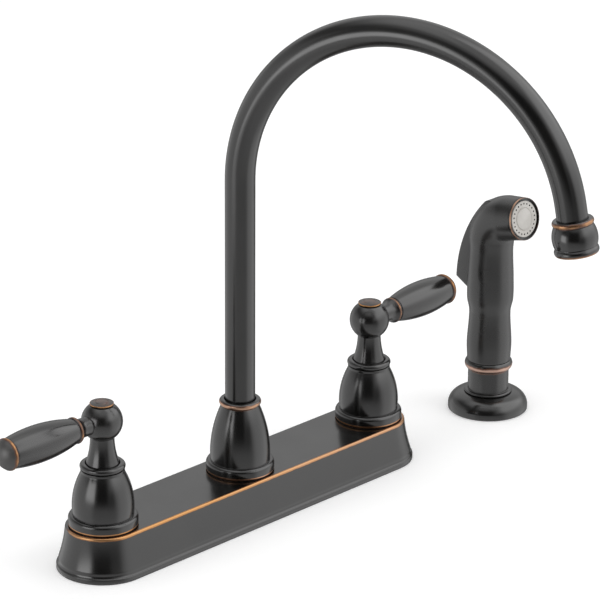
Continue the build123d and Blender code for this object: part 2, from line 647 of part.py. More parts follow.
def lever_cap(side):
    """Domed button that closes the lever's end, with a bead round it."""
    bead_high = barrel_end + LEVER_CAP_BEAD_LENGTH
    tip = bead_high + LEVER_CAP_DOME
    plug_low = barrel_end - LEVER_CAP_PLUG_LENGTH + SEAT_GAP
    cap = turned(
        Line((0, plug_low), (LEVER_CAP_PLUG_R, plug_low)),
        Line((LEVER_CAP_PLUG_R, plug_low), (LEVER_CAP_PLUG_R, barrel_end)),
        Line((LEVER_CAP_PLUG_R, barrel_end), (LEVER_TIP_R, barrel_end)),
        swelling(LEVER_TIP_R, LEVER_CAP_BEAD_R, barrel_end, bead_high),
        dome_edge(LEVER_TIP_R, bead_high, tip),
        Line((0, tip), (0, plug_low)),
    )
    return Pos(side * HOLE_PITCH) * lever_place(side) * cap


def index_cap(side):
    """Low round button on the ball, with a plug that fills the screw's well."""
    rim_top = cap_seat + CAP_RIM_HEIGHT
    plug_low = cap_seat - CAP_PLUG_LENGTH
    plug_r = HUB_WELL_R - THREAD_GAP
    cap = turned(
        Line((0, plug_low), (plug_r, plug_low)),
        Line((plug_r, plug_low), (plug_r, cap_seat)),
        Line((plug_r, cap_seat), (CAP_R, cap_seat)),
        Line((CAP_R, cap_seat), (CAP_R, rim_top)),
        dome_edge(CAP_R, rim_top, rim_top + CAP_CROWN),
        Line((0, rim_top + CAP_CROWN), (0, plug_low)),
    )
    return Pos(side * HOLE_PITCH) * cap


def handle_screw(side):
    """Screw through the hub's floor into the stem."""
    tip = hub_web_top - SCREW_LENGTH
    head_top = hub_web_top + SCREW_HEAD_HEIGHT
    screw = rod(SCREW_R, tip, hub_web_top) + rod(SCREW_HEAD_R, hub_web_top, head_top)
    drive = extrude(RegularPolygon(SCREW_DRIVE_R, 6), SCREW_HEAD_HEIGHT)
    return Pos(side * HOLE_PITCH) * (screw - Pos(0, 0, head_top - SCREW_DRIVE_DEPTH) * drive)


# ---------------------------------------------------------------- spout body and diverter
def spout_body():
    """Brass body that both crossover tubes feed; the diverter rides in its bore."""
    body = rod(SPOUT_BARREL_R, SPOUT_BARREL_FOOT, SPOUT_BARREL_TOP)
    for side in (-1, 1):
        body += Pos(0, 0, PORT_HEIGHT) * Rot(0, 90 * side, 0) * rod(PORT_BOSS_R, 0, PORT_BOSS_REACH)
    body += rod(NIPPLE_R, -NIPPLE_LENGTH, SPOUT_BARREL_FOOT + CUT_PAST)
    body -= rod(SPOUT_BORE_R, SPOUT_BORE_FLOOR, SPOUT_BARREL_TOP + CUT_PAST)
    body -= rod(DIVERTER_BORE_R, DIVERTER_FLOOR, SPOUT_BORE_FLOOR + CUT_PAST)
    body -= rod(NIPPLE_BORE_R, -NIPPLE_LENGTH - CUT_PAST, DIVERTER_FLOOR + CUT_PAST)
    socket_floor = PORT_BOSS_REACH - TUBE_SOCKET_DEPTH
    for side in (-1, 1):
        outwards = Pos(0, 0, PORT_HEIGHT) * Rot(0, 90 * side, 0)
        body -= outwards * rod(CROSSOVER_BORE_R, 0, PORT_BOSS_REACH)
        body -= outwards * rod(CROSSOVER_R + RUNNING_GAP, socket_floor, PORT_BOSS_REACH + CUT_PAST)
    return body


def diverter_piston():
    """Bored piston that lifts to send water to the spout, or drops for the sprayer."""
    low = DIVERTER_FLOOR
    high = low + DIVERTER_HEIGHT
    piston = rod(DIVERTER_BORE_R - RUNNING_GAP, low, high)
    waist_low = low + DIVERTER_LAND
    waist_high = high - DIVERTER_LAND
    piston -= ring(DIVERTER_BORE_R, DIVERTER_WAIST_R, waist_low, waist_high)
    piston -= rod(DIVERTER_BORE, low - CUT_PAST, high + CUT_PAST)
    across = Pos(0, 0, (waist_low + waist_high) / 2) * Rot(0, 90, 0)
    return piston - across * rod(DIVERTER_BORE, -DIVERTER_BORE_R, DIVERTER_BORE_R)


def spout_stem():
    """Stem that turns in the spout body and carries the tube; two grooves hold O rings."""
    stem_body = rod(SPOUT_BORE_R - RUNNING_GAP, stem_foot, collar_foot)
    stem_body += rod(SPOUT_COLLAR_R, collar_foot, collar_top)
    stem_body -= rod(SPOUT_STEM_BORE_R, stem_foot - CUT_PAST, tube_foot + CUT_PAST)
    stem_body -= rod(SPOUT_TUBE_R + THREAD_GAP, tube_foot, collar_top + CUT_PAST)
    for groove_low in oring_grooves():
        groove_r = SPOUT_BORE_R - RUNNING_GAP - 2 * ORING_WIRE_R
        stem_body -= ring(SPOUT_BORE_R, groove_r, groove_low, groove_low + ORING_GROOVE_WIDTH)
    return turned_with_spout(stem_body)


def oring_grooves():
    """Lower edge of each O ring groove."""
    lowest = stem_foot + ORING_LOW
    return [lowest, lowest + ORING_STEP]


def spout_orings():
    """The two O rings, each lying on the floor of its groove."""
    centre_r = SPOUT_BORE_R - RUNNING_GAP - ORING_WIRE_R
    half_groove = ORING_GROOVE_WIDTH / 2
    return [Pos(0, 0, low + half_groove) * Torus(centre_r, ORING_WIRE_R) for low in oring_grooves()]


def spout_glide_ring():
    """Flat plastic washer between the body and the stem's collar."""
    inner = SPOUT_BORE_R + RUNNING_GAP
    return ring(SPOUT_COLLAR_R, inner, SPOUT_BARREL_TOP, collar_foot)


def spout_nut():
    """Ring nut that keeps the stem down in the body."""
    skirt_low = SPOUT_BARREL_TOP - SPOUT_NUT_SKIRT
    lip_low = collar_top + SEAT_GAP
    lip_top = lip_low + SPOUT_NUT_LIP
    nut = rod(SPOUT_NUT_R, skirt_low, lip_top)
    nut -= rod(SPOUT_BARREL_R + THREAD_GAP, skirt_low - CUT_PAST, lip_low)
    return nut - rod(SPOUT_TUBE_R + SEAT_GAP, lip_low - CUT_PAST, lip_top + CUT_PAST)


# ---------------------------------------------------------------- spout
def turned_with_spout(shape):
    """Turn a piece from the straight ahead position to where the spout points."""
    return Rot(0, 0, SPOUT_SWING) * shape


def outlet_place():
    """Frame at the arch's end, its Z running out along the tube towards the sink."""
    turn = radians(SPOUT_ARCH_TURN)
    reach = SPOUT_ARCH_R * (1 - cos(turn))
    height = SPOUT_ARCH_HEIGHT + SPOUT_ARCH_R * sin(turn)
    return Pos(0, -reach, height) * Rot(SPOUT_ARCH_TURN, 0, 0)


def gooseneck():
    """Bent tube: upright leg, arch and a short straight end in the outlet's socket."""
    straight_end = HOUSING_TOP + HOUSING_SOCKET_DEPTH
    wall = Circle(SPOUT_TUBE_R) - Circle(SPOUT_TUBE_R - SPOUT_TUBE_WALL)
    leg = Pos(0, 0, tube_foot) * extrude(wall, SPOUT_ARCH_HEIGHT - tube_foot)
    arch_axis = Axis((0, -SPOUT_ARCH_R, SPOUT_ARCH_HEIGHT), (1, 0, 0))
    arch = revolve(Pos(0, 0, SPOUT_ARCH_HEIGHT) * wall, arch_axis, SPOUT_ARCH_TURN)
    outlet = outlet_place() * extrude(wall, straight_end)
    return turned_with_spout(leg + arch + outlet)


def aerator_housing():
    """Ring and bulb soldered on the tube's end."""
    socket_floor = HOUSING_TOP + HOUSING_SOCKET_DEPTH
    tube_hole_r = SPOUT_TUBE_R + THREAD_GAP
    shell_hole_r = SHELL_THREAD_R + THREAD_GAP
    body = turned(
        Line((tube_hole_r, HOUSING_TOP), (HOUSING_NECK_R, HOUSING_TOP)),
        swelling(HOUSING_NECK_R, HOUSING_RING_R, HOUSING_TOP, housing_ring_end),
        ThreePointArc((HOUSING_NECK_R, housing_ring_end), (HOUSING_BULB_R, bulb_middle),
                      (HOUSING_FOOT_R, bulb_end)),
        Line((HOUSING_FOOT_R, bulb_end), (shell_hole_r, bulb_end)),
        Line((shell_hole_r, bulb_end), (shell_hole_r, washer_low)),
        Line((shell_hole_r, washer_low), (HOUSING_THROAT_R, washer_low)),
        Line((HOUSING_THROAT_R, washer_low), (HOUSING_THROAT_R, socket_floor)),
        Line((HOUSING_THROAT_R, socket_floor), (tube_hole_r, socket_floor)),
        Line((tube_hole_r, socket_floor), (tube_hole_r, HOUSING_TOP)),
    )
    return turned_with_spout(outlet_place() * body)


def aerator_washer():
    """Rubber washer that the aerator is screwed up against."""
    washer = ring(SHELL_THREAD_R, HOUSING_THROAT_R, washer_low, shell_top)
    return turned_with_spout(outlet_place() * washer)


def aerator_shell():
    """Screwed shell whose rim shows below the bulb."""
    groove_end = bulb_end + HOUSING_GROOVE
    rim_end = groove_end + HOUSING_RIM_LENGTH
    ledge = shell_top + SHELL_LEDGE
    insert_hole_r = INSERT_R + THREAD_GAP
    body = turned(
        Line((SHELL_INNER_R, shell_top), (SHELL_THREAD_R, shell_top)),
        Line((SHELL_THREAD_R, shell_top), (SHELL_THREAD_R, bulb_end)),
        Line((SHELL_THREAD_R, bulb_end), (SHELL_NECK_R, bulb_end)),
        Line((SHELL_NECK_R, bulb_end), (SHELL_NECK_R, groove_end)),
        swelling(SHELL_NECK_R, HOUSING_RIM_R, groove_end, rim_end),
        Line((SHELL_NECK_R, rim_end), (insert_hole_r, rim_end)),
        Line((insert_hole_r, rim_end), (insert_hole_r, ledge)),
        Line((insert_hole_r, ledge), (SHELL_INNER_R, ledge)),
        Line((SHELL_INNER_R, ledge), (SHELL_INNER_R, shell_top)),
    )
    return turned_with_spout(outlet_place() * body)


def aerator_insert():
    """Plastic core with a rosette of holes for the stream."""
    high = bulb_end + HOUSING_GROOVE + HOUSING_RIM_LENGTH - INSERT_RECESS
    low = shell_top + SHELL_LEDGE
    hole = rod(INSERT_HOLE_R, low - CUT_PAST, high + CUT_PAST)
    core = rod(INSERT_R, low, high) - hole
    core -= PolarLocations(INSERT_INNER_ROW_R, INSERT_INNER_HOLES) * hole
    core -= PolarLocations(INSERT_OUTER_ROW_R, INSERT_OUTER_HOLES) * hole
    return turned_with_spout(outlet_place() * core)


# ---------------------------------------------------------------- sprayer base
def spray_escutcheon():
    """Low domed flange on the deck, hollow underneath."""
    inner_r = COLLAR_R + SEAT_GAP
    shoulder = SPRAY_FLANGE_HEIGHT - SPRAY_FLANGE_CROWN_DROP
    ceiling = SPRAY_FLANGE_HEIGHT - SPRAY_FLANGE_WALL
    foot_inner = SPRAY_FLANGE_R - SPRAY_FLANGE_WALL
    dome = turned(
        Line((foot_inner, 0), (SPRAY_FLANGE_R, 0)),
        Line((SPRAY_FLANGE_R, 0), (SPRAY_FLANGE_R, SPRAY_FLANGE_EDGE)),
        SagittaArc((SPRAY_FLANGE_R, SPRAY_FLANGE_EDGE), (SPRAY_FLANGE_CROWN_R, shoulder),
                   -SPRAY_FLANGE_BULGE),
        Line((SPRAY_FLANGE_CROWN_R, shoulder), (SPRAY_STEP_R, SPRAY_FLANGE_HEIGHT)),
        Line((SPRAY_STEP_R, SPRAY_FLANGE_HEIGHT), (inner_r, SPRAY_FLANGE_HEIGHT)),
        Line((inner_r, SPRAY_FLANGE_HEIGHT), (inner_r, ceiling - SPRAY_FLANGE_CROWN_DROP)),
        SagittaArc((inner_r, ceiling - SPRAY_FLANGE_CROWN_DROP), (foot_inner, SPRAY_FLANGE_EDGE),
                   SPRAY_FLANGE_BULGE),
        Line((foot_inner, SPRAY_FLANGE_EDGE), (foot_inner, 0)),
    )
    return Pos(spray_x) * dome


def spray_guide():
    """Threaded sleeve through the deck that ends in the collar the wand stands in."""
    step_top = SPRAY_FLANGE_HEIGHT + SPRAY_STEP_HEIGHT
    bead_edge = COLLAR_BEAD_R - COLLAR_BEAD_ROUND
    bead_middle = (COLLAR_BEAD_LOW + COLLAR_TOP) / 2
    sleeve = turned(
        Line((GUIDE_BORE_R, -GUIDE_SHANK_LENGTH), (COLLAR_R, -GUIDE_SHANK_LENGTH)),
        Line((COLLAR_R, -GUIDE_SHANK_LENGTH), (COLLAR_R, SPRAY_FLANGE_HEIGHT)),
        Line((COLLAR_R, SPRAY_FLANGE_HEIGHT), (COLLAR_STEP_R, SPRAY_FLANGE_HEIGHT)),
        swelling(COLLAR_STEP_R, SPRAY_STEP_R, SPRAY_FLANGE_HEIGHT, step_top),
        Line((COLLAR_STEP_R, step_top), (COLLAR_R, step_top)),
        Line((COLLAR_R, step_top), (COLLAR_R, COLLAR_BEAD_LOW)),
        Line((COLLAR_R, COLLAR_BEAD_LOW), (bead_edge, COLLAR_BEAD_LOW)),
        ThreePointArc((bead_edge, COLLAR_BEAD_LOW), (COLLAR_BEAD_R, bead_middle),
                      (bead_edge, COLLAR_TOP)),
        Line((bead_edge, COLLAR_TOP), (GUIDE_BORE_R, COLLAR_TOP)),
        Line((GUIDE_BORE_R, COLLAR_TOP), (GUIDE_BORE_R, -GUIDE_SHANK_LENGTH)),
    )
    return Pos(spray_x) * sleeve


def spray_guide_washer():
    low = -DECK_THICKNESS - WASHER_THICKNESS
    return Pos(spray_x) * ring(WASHER_R, COLLAR_R + SEAT_GAP, low, -DECK_THICKNESS)


def spray_guide_nut():
    high = -DECK_THICKNESS - WASHER_THICKNESS
    return Pos(spray_x) * hex_nut(GUIDE_NUT_FLATS, COLLAR_R + THREAD_GAP, high - NUT_HEIGHT, high)


# ---------------------------------------------------------------- spray wand
def face_place():
    """Frame at the middle of the spray face, Z pointing out of the face."""
    angle = radians(WAND_HEAD_TURN)
    y = -WAND_BEND_R * (1 - cos(angle)) - WAND_HEAD_LENGTH * sin(angle)
    z = wand_foot + WAND_BEND_RISE + WAND_BEND_R * sin(angle) + WAND_HEAD_LENGTH * cos(angle)
    return Plane(origin=(0, y, z), x_dir=(1, 0, 0), z_dir=(0, -sin(angle), cos(angle))).location


def wand_shape():
    """Outer form of the wand: turned grip, round bend and slightly tapered head."""
    bend_low = wand_foot + WAND_BEND_RISE
    side = Spline(
        (WAND_FOOT_R, wand_foot),
        (WAND_SWELL_R, wand_foot + WAND_SWELL_AT),
        (WAND_WAIST_R, wand_foot + WAND_WAIST_AT),
        (WAND_GRIP_R, wand_foot + WAND_GRIP_AT),
        (WAND_PALM_R, wand_foot + WAND_PALM_AT),
        (WAND_NECK_R, wand_foot + WAND_NECK_AT),
        (WAND_BEND_SECTION_R, bend_low),
        tangents=((0, 1), (0, 1)),
    )
    grip = turned(
        Line((0, wand_foot), (WAND_FOOT_R, wand_foot)),
        side,
        Line((WAND_BEND_SECTION_R, bend_low), (0, bend_low)),
        Line((0, bend_low), (0, wand_foot)),
    )
    bend_axis = Axis((0, -WAND_BEND_R, bend_low), (1, 0, 0))
    bend = revolve(Pos(0, 0, bend_low) * Circle(WAND_BEND_SECTION_R), bend_axis, WAND_HEAD_TURN)
    head = turned(*closed(
        (0, -WAND_HEAD_LENGTH), (WAND_BEND_SECTION_R, -WAND_HEAD_LENGTH),
        (WAND_HEAD_R, -SPRAY_RIM_LENGTH), (0, -SPRAY_RIM_LENGTH),
    ))
    return grip + bend + face_place() * head


def pivot_place():
    """Frame at the trigger's pivot, on the wand's own axes."""
    return Pos(0, TRIGGER_PIVOT_BACK, wand_foot + TRIGGER_PIVOT_RISE)


def trigger_slot():
    """Room for the trigger: round at its pivot and open to the back below it."""
    head_r = TRIGGER_HEAD_R + TRIGGER_GAP
    top = TRIGGER_HEAD_R + WAND_BEND_SECTION_R
    low = -TRIGGER_DROP - TRIGGER_TOE - TRIGGER_FOOT_ROOM
    floor = slot_floor - TRIGGER_PIVOT_BACK
    back = TRIGGER_CORNER_BACK + WAND_FOOT_R
    outline = make_face(closed((0, -head_r), (floor, -TRIGGER_SLOT_BEND), (floor, low),
                               (back, low), (back, top), (0, top)))
    outline += Circle(head_r)
    half = TRIGGER_WIDTH / 2 + TRIGGER_GAP
    return pivot_place() * extrude(Plane.YZ * outline, half, both=True)


def wand_body():
    """Hollow grip and head with the trigger's slot, pin holes and plunger bore."""
    body = wand_shape()
    body -= Pos(0, 0, wand_foot) * rod(WAND_BORE_R, -CUT_PAST, WAND_BORE_DEPTH)
    body -= face_place() * rod(HEAD_CHAMBER_R, -HEAD_CHAMBER_DEPTH, CUT_PAST)
    passage = Pos(0, 0, wand_foot + PASSAGE_RISE) * Rot(PASSAGE_TURN, 0, 0)
    body -= passage * rod(PASSAGE_R, 0, PASSAGE_LENGTH)
    body -= trigger_slot()
    pin_room = TRIGGER_PIN_LENGTH / 2 + SEAT_GAP
    body -= pivot_place() * Rot(0, 90, 0) * rod(TRIGGER_PIN_R + RUNNING_GAP, -pin_room, pin_room)
    plunger_travel = VALVE_DROP * sin(radians(TRIGGER_THROW))
    plunger_room = PLUNGER_LENGTH - plunger_nose() + plunger_travel + SEAT_GAP
    body -= plunger_place() * rod(PLUNGER_R + RUNNING_GAP, -plunger_room, TRIGGER_SLOT_WALL)
    return Pos(spray_x) * body


def plunger_place():
    """Frame on the plunger's axis at the slot's floor, Z towards the trigger."""
    height = wand_foot + TRIGGER_PIVOT_RISE - VALVE_DROP
    return Pos(0, slot_floor, height) * Rot(-90, 0, 0)


def plunger_nose():
    """How far the plunger stands out of the slot's floor, just short of the trigger."""
    share = (VALVE_DROP - TRIGGER_INNER_DROP) / (TRIGGER_DROP + TRIGGER_TOE - TRIGGER_INNER_DROP)
    toe_back = TRIGGER_CORNER_BACK - TRIGGER_DEPTH
    chord = TRIGGER_INNER_BACK + share * (toe_back - TRIGGER_INNER_BACK)
    bow = 4 * share * (1 - share) * TRIGGER_INNER_BOW
    return TRIGGER_PIVOT_BACK + chord + bow - SEAT_GAP - slot_floor


def valve_plunger():
    """Pin that the trigger pushes to open the valve, with a rounded nose."""
    nose = plunger_nose()
    plunger = turned(
        Line((0, nose - PLUNGER_LENGTH), (PLUNGER_R, nose - PLUNGER_LENGTH)),
        Line((PLUNGER_R, nose - PLUNGER_LENGTH), (PLUNGER_R, nose - PLUNGER_NOSE)),
        dome_edge(PLUNGER_R, nose - PLUNGER_NOSE, nose),
        Line((0, nose), (0, nose - PLUNGER_LENGTH)),
    )
    return Pos(spray_x) * plunger_place() * plunger


def spray_rim():
    """Polished band round the spray face."""
    band = ring(SPRAY_RIM_R, SPRAY_RIM_INNER_R, -SPRAY_RIM_LENGTH, 0)
    return Pos(spray_x) * face_place() * band


def spray_face():
    """Pale disc with a ring of nozzle holes and a raised middle."""
    front = -SPRAY_FACE_RECESS
    seat = -SPRAY_RIM_LENGTH
    plug_r = HEAD_CHAMBER_R - THREAD_GAP
    face = rod(SPRAY_RIM_INNER_R - THREAD_GAP, seat, front)
    face += ring(plug_r, plug_r - SPRAY_PLUG_WALL, seat - SPRAY_PLUG_DEPTH, seat)
    face += rod(SPRAY_BUTTON_R, seat, front + SPRAY_BUTTON_PROUD)
    hole = rod(SPRAY_HOLE_R, seat - CUT_PAST, front + CUT_PAST)
    face -= PolarLocations(SPRAY_HOLE_RING_R, SPRAY_HOLES) * hole
    return Pos(spray_x) * face_place() * face


def hose_coupling():
    """Coupling under the wand with its thread above and the hose barb below."""
    barb_low = -COUPLING_LENGTH - HOSE_BARB_LENGTH
    body = rod(COUPLING_R, -COUPLING_LENGTH, 0)
    body += rod(WAND_BORE_R - THREAD_GAP, 0, COUPLING_THREAD_LENGTH)
    body += rod(HOSE_BARB_R, barb_low, -COUPLING_LENGTH)
    body -= rod(HOSE_BORE_R, barb_low - CUT_PAST, COUPLING_THREAD_LENGTH + CUT_PAST)
    return Pos(spray_x, 0, wand_foot) * body


def trigger_pin():
    """Hinge pin across the head."""
    half = TRIGGER_PIN_LENGTH / 2
    return Pos(spray_x) * pivot_place() * Rot(0, 90, 0) * rod(TRIGGER_PIN_R, -half, half)


def spray_trigger():
    """Long curved lever at the wand's back that ends in a sharp corner."""
    corner = (TRIGGER_CORNER_BACK, -TRIGGER_DROP)
    toe = (TRIGGER_CORNER_BACK - TRIGGER_DEPTH, -TRIGGER_DROP - TRIGGER_TOE)
    root = (TRIGGER_INNER_BACK, -TRIGGER_INNER_DROP)
    crown = (TRIGGER_HEAD_R * cos(radians(TRIGGER_CROWN_TURN)),
             TRIGGER_HEAD_R * sin(radians(TRIGGER_CROWN_TURN)))
    blade = make_face([
        SagittaArc(crown, corner, TRIGGER_BOW),
        Line(corner, toe),
        SagittaArc(toe, root, -TRIGGER_INNER_BOW),
        Line(root, (0, -TRIGGER_HEAD_R)),
        Line((0, -TRIGGER_HEAD_R), (0, 0)),
        Line((0, 0), crown),
    ])
    outline = blade + Circle(TRIGGER_HEAD_R)
    lever_body = extrude(Plane.YZ * outline, TRIGGER_WIDTH / 2, both=True)
    lever_body -= Rot(0, 90, 0) * rod(TRIGGER_PIN_R + RUNNING_GAP, -TRIGGER_WIDTH, TRIGGER_WIDTH)
    return Pos(spray_x) * pivot_place() * lever_body


# ---------------------------------------------------------------- write the parts
SINGLE_PIECES = [
    deck_plate, deck_gasket, spout_bell, spout_body, diverter_piston, spout_stem, spout_glide_ring,
    spout_nut, gooseneck, aerator_housing, aerator_washer, aerator_shell, aerator_insert,
    spray_escutcheon, spray_guide, spray_guide_washer, spray_guide_nut, wand_body, valve_plunger,
    spray_rim, spray_face, hose_coupling, trigger_pin, spray_trigger,
]
HANDED_PIECES = [
    valve_body, crossover_tube, seat_seal, cartridge_body, fixed_disc, bonnet_nut,
    turning_disc, stem, handle_hub, lever, lever_cap, index_cap, handle_screw,
]

os.makedirs("parts", exist_ok=True)
for make in SINGLE_PIECES:
    save(make.__name__, make())
for hand, side in (("hot", -1), ("cold", 1)):
    for make in HANDED_PIECES:
        save(f"{hand}_{make.__name__}", make(side))
save("spout_orings", *spout_orings())
save("mounting_washers", mounting_washer(-1), mounting_washer(1))
save("mounting_nuts", mounting_nut(-1), mounting_nut(1))
bell = handle_bell()
save("hot_bell", Pos(-HOLE_PITCH) * bell)
save("cold_bell", Pos(HOLE_PITCH) * bell)
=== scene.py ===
# %% [markdown]
# A kitchen faucet with two handles, a tall bent spout and a side sprayer.
# The construction comes ready made as a frame of solid pieces, each at its real size and
# place. This lesson gives it its looks: turned brass covers with softly broken edges, a
# dark bronze lacquer that is rubbed through to copper on the beads and rims, and a plain
# white studio. Everything in Blender is in metres, and this file thinks in millimetres.

# %% Load the frame
from math import asin, atan2, copysign, cos, pi, radians, sin, sqrt, tau

import bmesh
import bpy
from mathutils import Matrix, Vector


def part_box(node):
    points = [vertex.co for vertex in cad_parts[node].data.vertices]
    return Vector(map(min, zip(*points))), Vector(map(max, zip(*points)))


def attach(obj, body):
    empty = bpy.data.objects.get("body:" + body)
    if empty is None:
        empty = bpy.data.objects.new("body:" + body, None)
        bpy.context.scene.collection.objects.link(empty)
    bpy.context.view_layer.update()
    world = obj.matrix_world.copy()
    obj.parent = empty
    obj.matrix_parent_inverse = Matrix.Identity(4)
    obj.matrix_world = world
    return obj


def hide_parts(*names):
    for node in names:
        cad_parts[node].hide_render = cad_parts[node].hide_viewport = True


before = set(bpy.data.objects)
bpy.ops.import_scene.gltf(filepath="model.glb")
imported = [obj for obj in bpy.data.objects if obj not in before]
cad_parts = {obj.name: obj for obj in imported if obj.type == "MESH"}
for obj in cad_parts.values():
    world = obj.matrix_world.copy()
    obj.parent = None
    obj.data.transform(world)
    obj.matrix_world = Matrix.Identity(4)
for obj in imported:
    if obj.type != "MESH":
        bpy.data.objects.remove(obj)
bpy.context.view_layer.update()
print("pieces in the frame:", len(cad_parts))

# %% [markdown]
# Sizes are read from the frame wherever it has them, so that a new piece lies exactly on
# the one it stands for. A box is enough: a turned piece gives its axis, its radius and its
# two ends. The other sizes are named next to the piece that needs them.

# %% Read sizes from the frame
MM = 0.001


class Size:
    """A node's box in millimetres, with its middle and its radius about an upright axis."""

    def __init__(self, node):
        low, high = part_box(node)
        self.low = low / MM
        self.high = high / MM
        self.middle = (self.low + self.high) / 2
        self.radius = (self.high.x - self.low.x) / 2


plate = Size("deck_plate")
hot_bell = Size("hot_bell")
spout_bell = Size("spout_bell")
spray_flange = Size("spray_escutcheon")
HANDLE_X = abs(hot_bell.middle.x)
SPRAY_X = spray_flange.middle.x
PLATE_TOP = plate.high.z
print("handle pitch", round(HANDLE_X, 1), "sprayer at", round(SPRAY_X, 1), "mm")

# %% [markdown]
# The camera comes first. The photograph was taken from the front left with a long lens,
# so the far handle is nearly as large as the near one. The direction, distance and lens
# were worked out from the round rims in the picture, whose ellipses give the height of
# the camera. A long lens can be turned a little to frame the object, with no lens shift.

# %% Camera
CAMERA_AZIMUTH = radians(-45.04)
CAMERA_ELEVATION = radians(20.5)
CAMERA_DISTANCE = 2.0427        # metres to a point half way up the spout
LENS = 230.73                   # millimetres on a sensor 36 mm wide
SENSOR = 36.0
HEIGHT_AIMED_AT = 0.150
TURN_RIGHT = 0.03182            # metres that the view is moved at the faucet
TURN_DOWN = 0.02617
FAR_CLIP = 50


def add_object(name, data):
    """Make an object and put it into the scene."""
    thing = bpy.data.objects.new(name, data)
    bpy.context.scene.collection.objects.link(thing)
    return thing


def towards(azimuth, elevation):
    """A direction from the faucet; azimuth 0 is straight in front of it, + to the right."""
    return Vector((sin(azimuth) * cos(elevation), -cos(azimuth) * cos(elevation), sin(elevation)))


camera_back = towards(CAMERA_AZIMUTH, CAMERA_ELEVATION)
camera_right = Vector((cos(CAMERA_AZIMUTH), sin(CAMERA_AZIMUTH), 0))
camera_up = camera_back.cross(camera_right)
level_view = Matrix((camera_right, camera_up, camera_back)).transposed().to_quaternion()
sight = camera_right * TURN_RIGHT - camera_up * TURN_DOWN - camera_back * CAMERA_DISTANCE

camera = add_object("camera", bpy.data.cameras.new("camera"))
camera.data.lens = LENS
camera.data.sensor_width = SENSOR
camera.rotation_mode = "QUATERNION"
camera.rotation_quaternion = (-camera_back).rotation_difference(sight) @ level_view
camera.location = Vector((0, 0, HEIGHT_AIMED_AT)) + camera_back * CAMERA_DISTANCE
camera.data.clip_end = FAR_CLIP
bpy.context.scene.camera = camera
print("camera stands at", [round(x, 3) for x in camera.location])

# %% [markdown]
# A turned piece is drawn as one closed outline, radius against height, and carried round
# an axis. Real turned brass never has a knife edge, so a helper breaks each sharp corner
# of the outline with a small round. That round is what catches the thin bright lines.
# A rub says where hands wear a piece: a radius, a height, how far it reaches and how much.
# Two rubs paint shade instead, a brown in the hollows under the bells' flanges and under
# the sprayer's collar bead.

# %% Outlines: bows, broken corners and even steps
CORNER_ROUND = 0.28             # how far a broken corner starts from its tip
SHARP_TURN = radians(24)
LONGEST_STEP = 1.3
RUBBED_STEP = 0.22
QUARTER_RISE = 0.29             # how far a quarter round bows out, as a share of its radius
ON_AXIS = 1e-6


def bow(start, end, rise, steps=14):
    """Points of a round arc; a positive rise bows to the left of the direction of travel."""
    a = Vector(start)
    b = Vector(end)
    half = (b - a).length / 2
    left = Vector((a.y - b.y, b.x - a.x)).normalized()
    radius = (half**2 + rise**2) / (2 * abs(rise))
    centre = (a + b) / 2 + left * (rise - copysign(radius, rise))
    first = atan2(a.y - centre.y, a.x - centre.x)
    turn = 2 * asin(min(1, half / radius))
    if abs(rise) > half:
        turn = tau - turn
    turn = -copysign(turn, rise)
    angles = [first + turn * i / steps for i in range(steps + 1)]
    return [(centre.x + radius * cos(t), centre.y + radius * sin(t)) for t in angles]


def bead(r, low, high, proud, steps=12):
    """A bead that stands proud of a radius, between two heights."""
    return bow((r, low), (r, high), -proud, steps)


def rounded_edge(r, top, size, steps):
    """An upper edge with a quarter round, from the side up to the flat top."""
    return bow((r, top - size), (r - size, top), -size * QUARTER_RISE, steps)


def broken(points, size=CORNER_ROUND):
    """The same closed outline with a small round at each sharp corner off the axis."""
    points = [Vector(p) for i, p in enumerate(points) if Vector(p) != Vector(points[i - 1])]
    out = []
    for i, corner in enumerate(points):
        before = points[i - 1] - corner
        after = points[(i + 1) % len(points)] - corner
        turn = pi - before.angle(after)
        if turn < SHARP_TURN or corner.x < ON_AXIS:
            out.append(corner)
            continue
        cut = min(size, 0.45 * before.length, 0.45 * after.length)
        p = corner + before.normalized() * cut
        q = corner + after.normalized() * cut
        for t in (0, 0.25, 0.5, 0.75, 1):
            out.append(p * (1 - t) ** 2 + corner * 2 * t * (1 - t) + q * t**2)
    return out


def eased(t):
    """0 below 0 and 1 above 1, with a soft way between them."""
    t = min(1, max(0, t))
    return t * t * (3 - 2 * t)


def wear_at(point, rubs):
    """How worn a place is, and in two hollows how much painted shade it takes: a rub's full amount on
    its edge, fading to 0 at its reach.
    """
    worn = 0
    for r, z, reach, amount in rubs:
        away = (Vector((r, z)) - point).length
        worn = max(worn, amount * eased(1 - away / reach))
    return worn


def even(points, rubs=()):
    """Cut long runs into steps, finer near a rubbed edge, so that the wear has room."""
    out = []
    for i, a in enumerate(points):
        b = points[(i + 1) % len(points)]
        coarse = max(1, round((b - a).length / LONGEST_STEP))
        for j in range(coarse):
            p = a.lerp(b, j / coarse)
            q = a.lerp(b, (j + 1) / coarse)
            near = max(wear_at(p, rubs), wear_at(q, rubs), wear_at((p + q) / 2, rubs)) > 0
            fine = max(1, round((q - p).length / RUBBED_STEP)) if near else 1
            out.extend(p.lerp(q, k / fine) for k in range(fine))
    return out


print("a bow has", len(bow((1, 0), (0, 1), 0.2)), "points unless it asks for more")

# %% [markdown]
# The mesh itself is plain: one ring of points for each step of the outline, joined by
# four sided faces. The wear goes into the mesh as a value on each point, which the
# material reads later. That keeps the copper lines on the right edges of every piece,
# and they stay there when a handle turns.

# %% From an outline to a mesh
SEGMENTS = 96
# the value also carries the painted shade of two hollows
WEAR = "worn"


def finished(mesh, work):
    """Turn the faces outwards, shade them smooth and give the mesh an object."""
    bmesh.ops.recalc_face_normals(work, faces=work.faces)
    work.to_mesh(mesh)
    work.free()
    mesh.shade_smooth()
    return add_object(mesh.name, mesh)


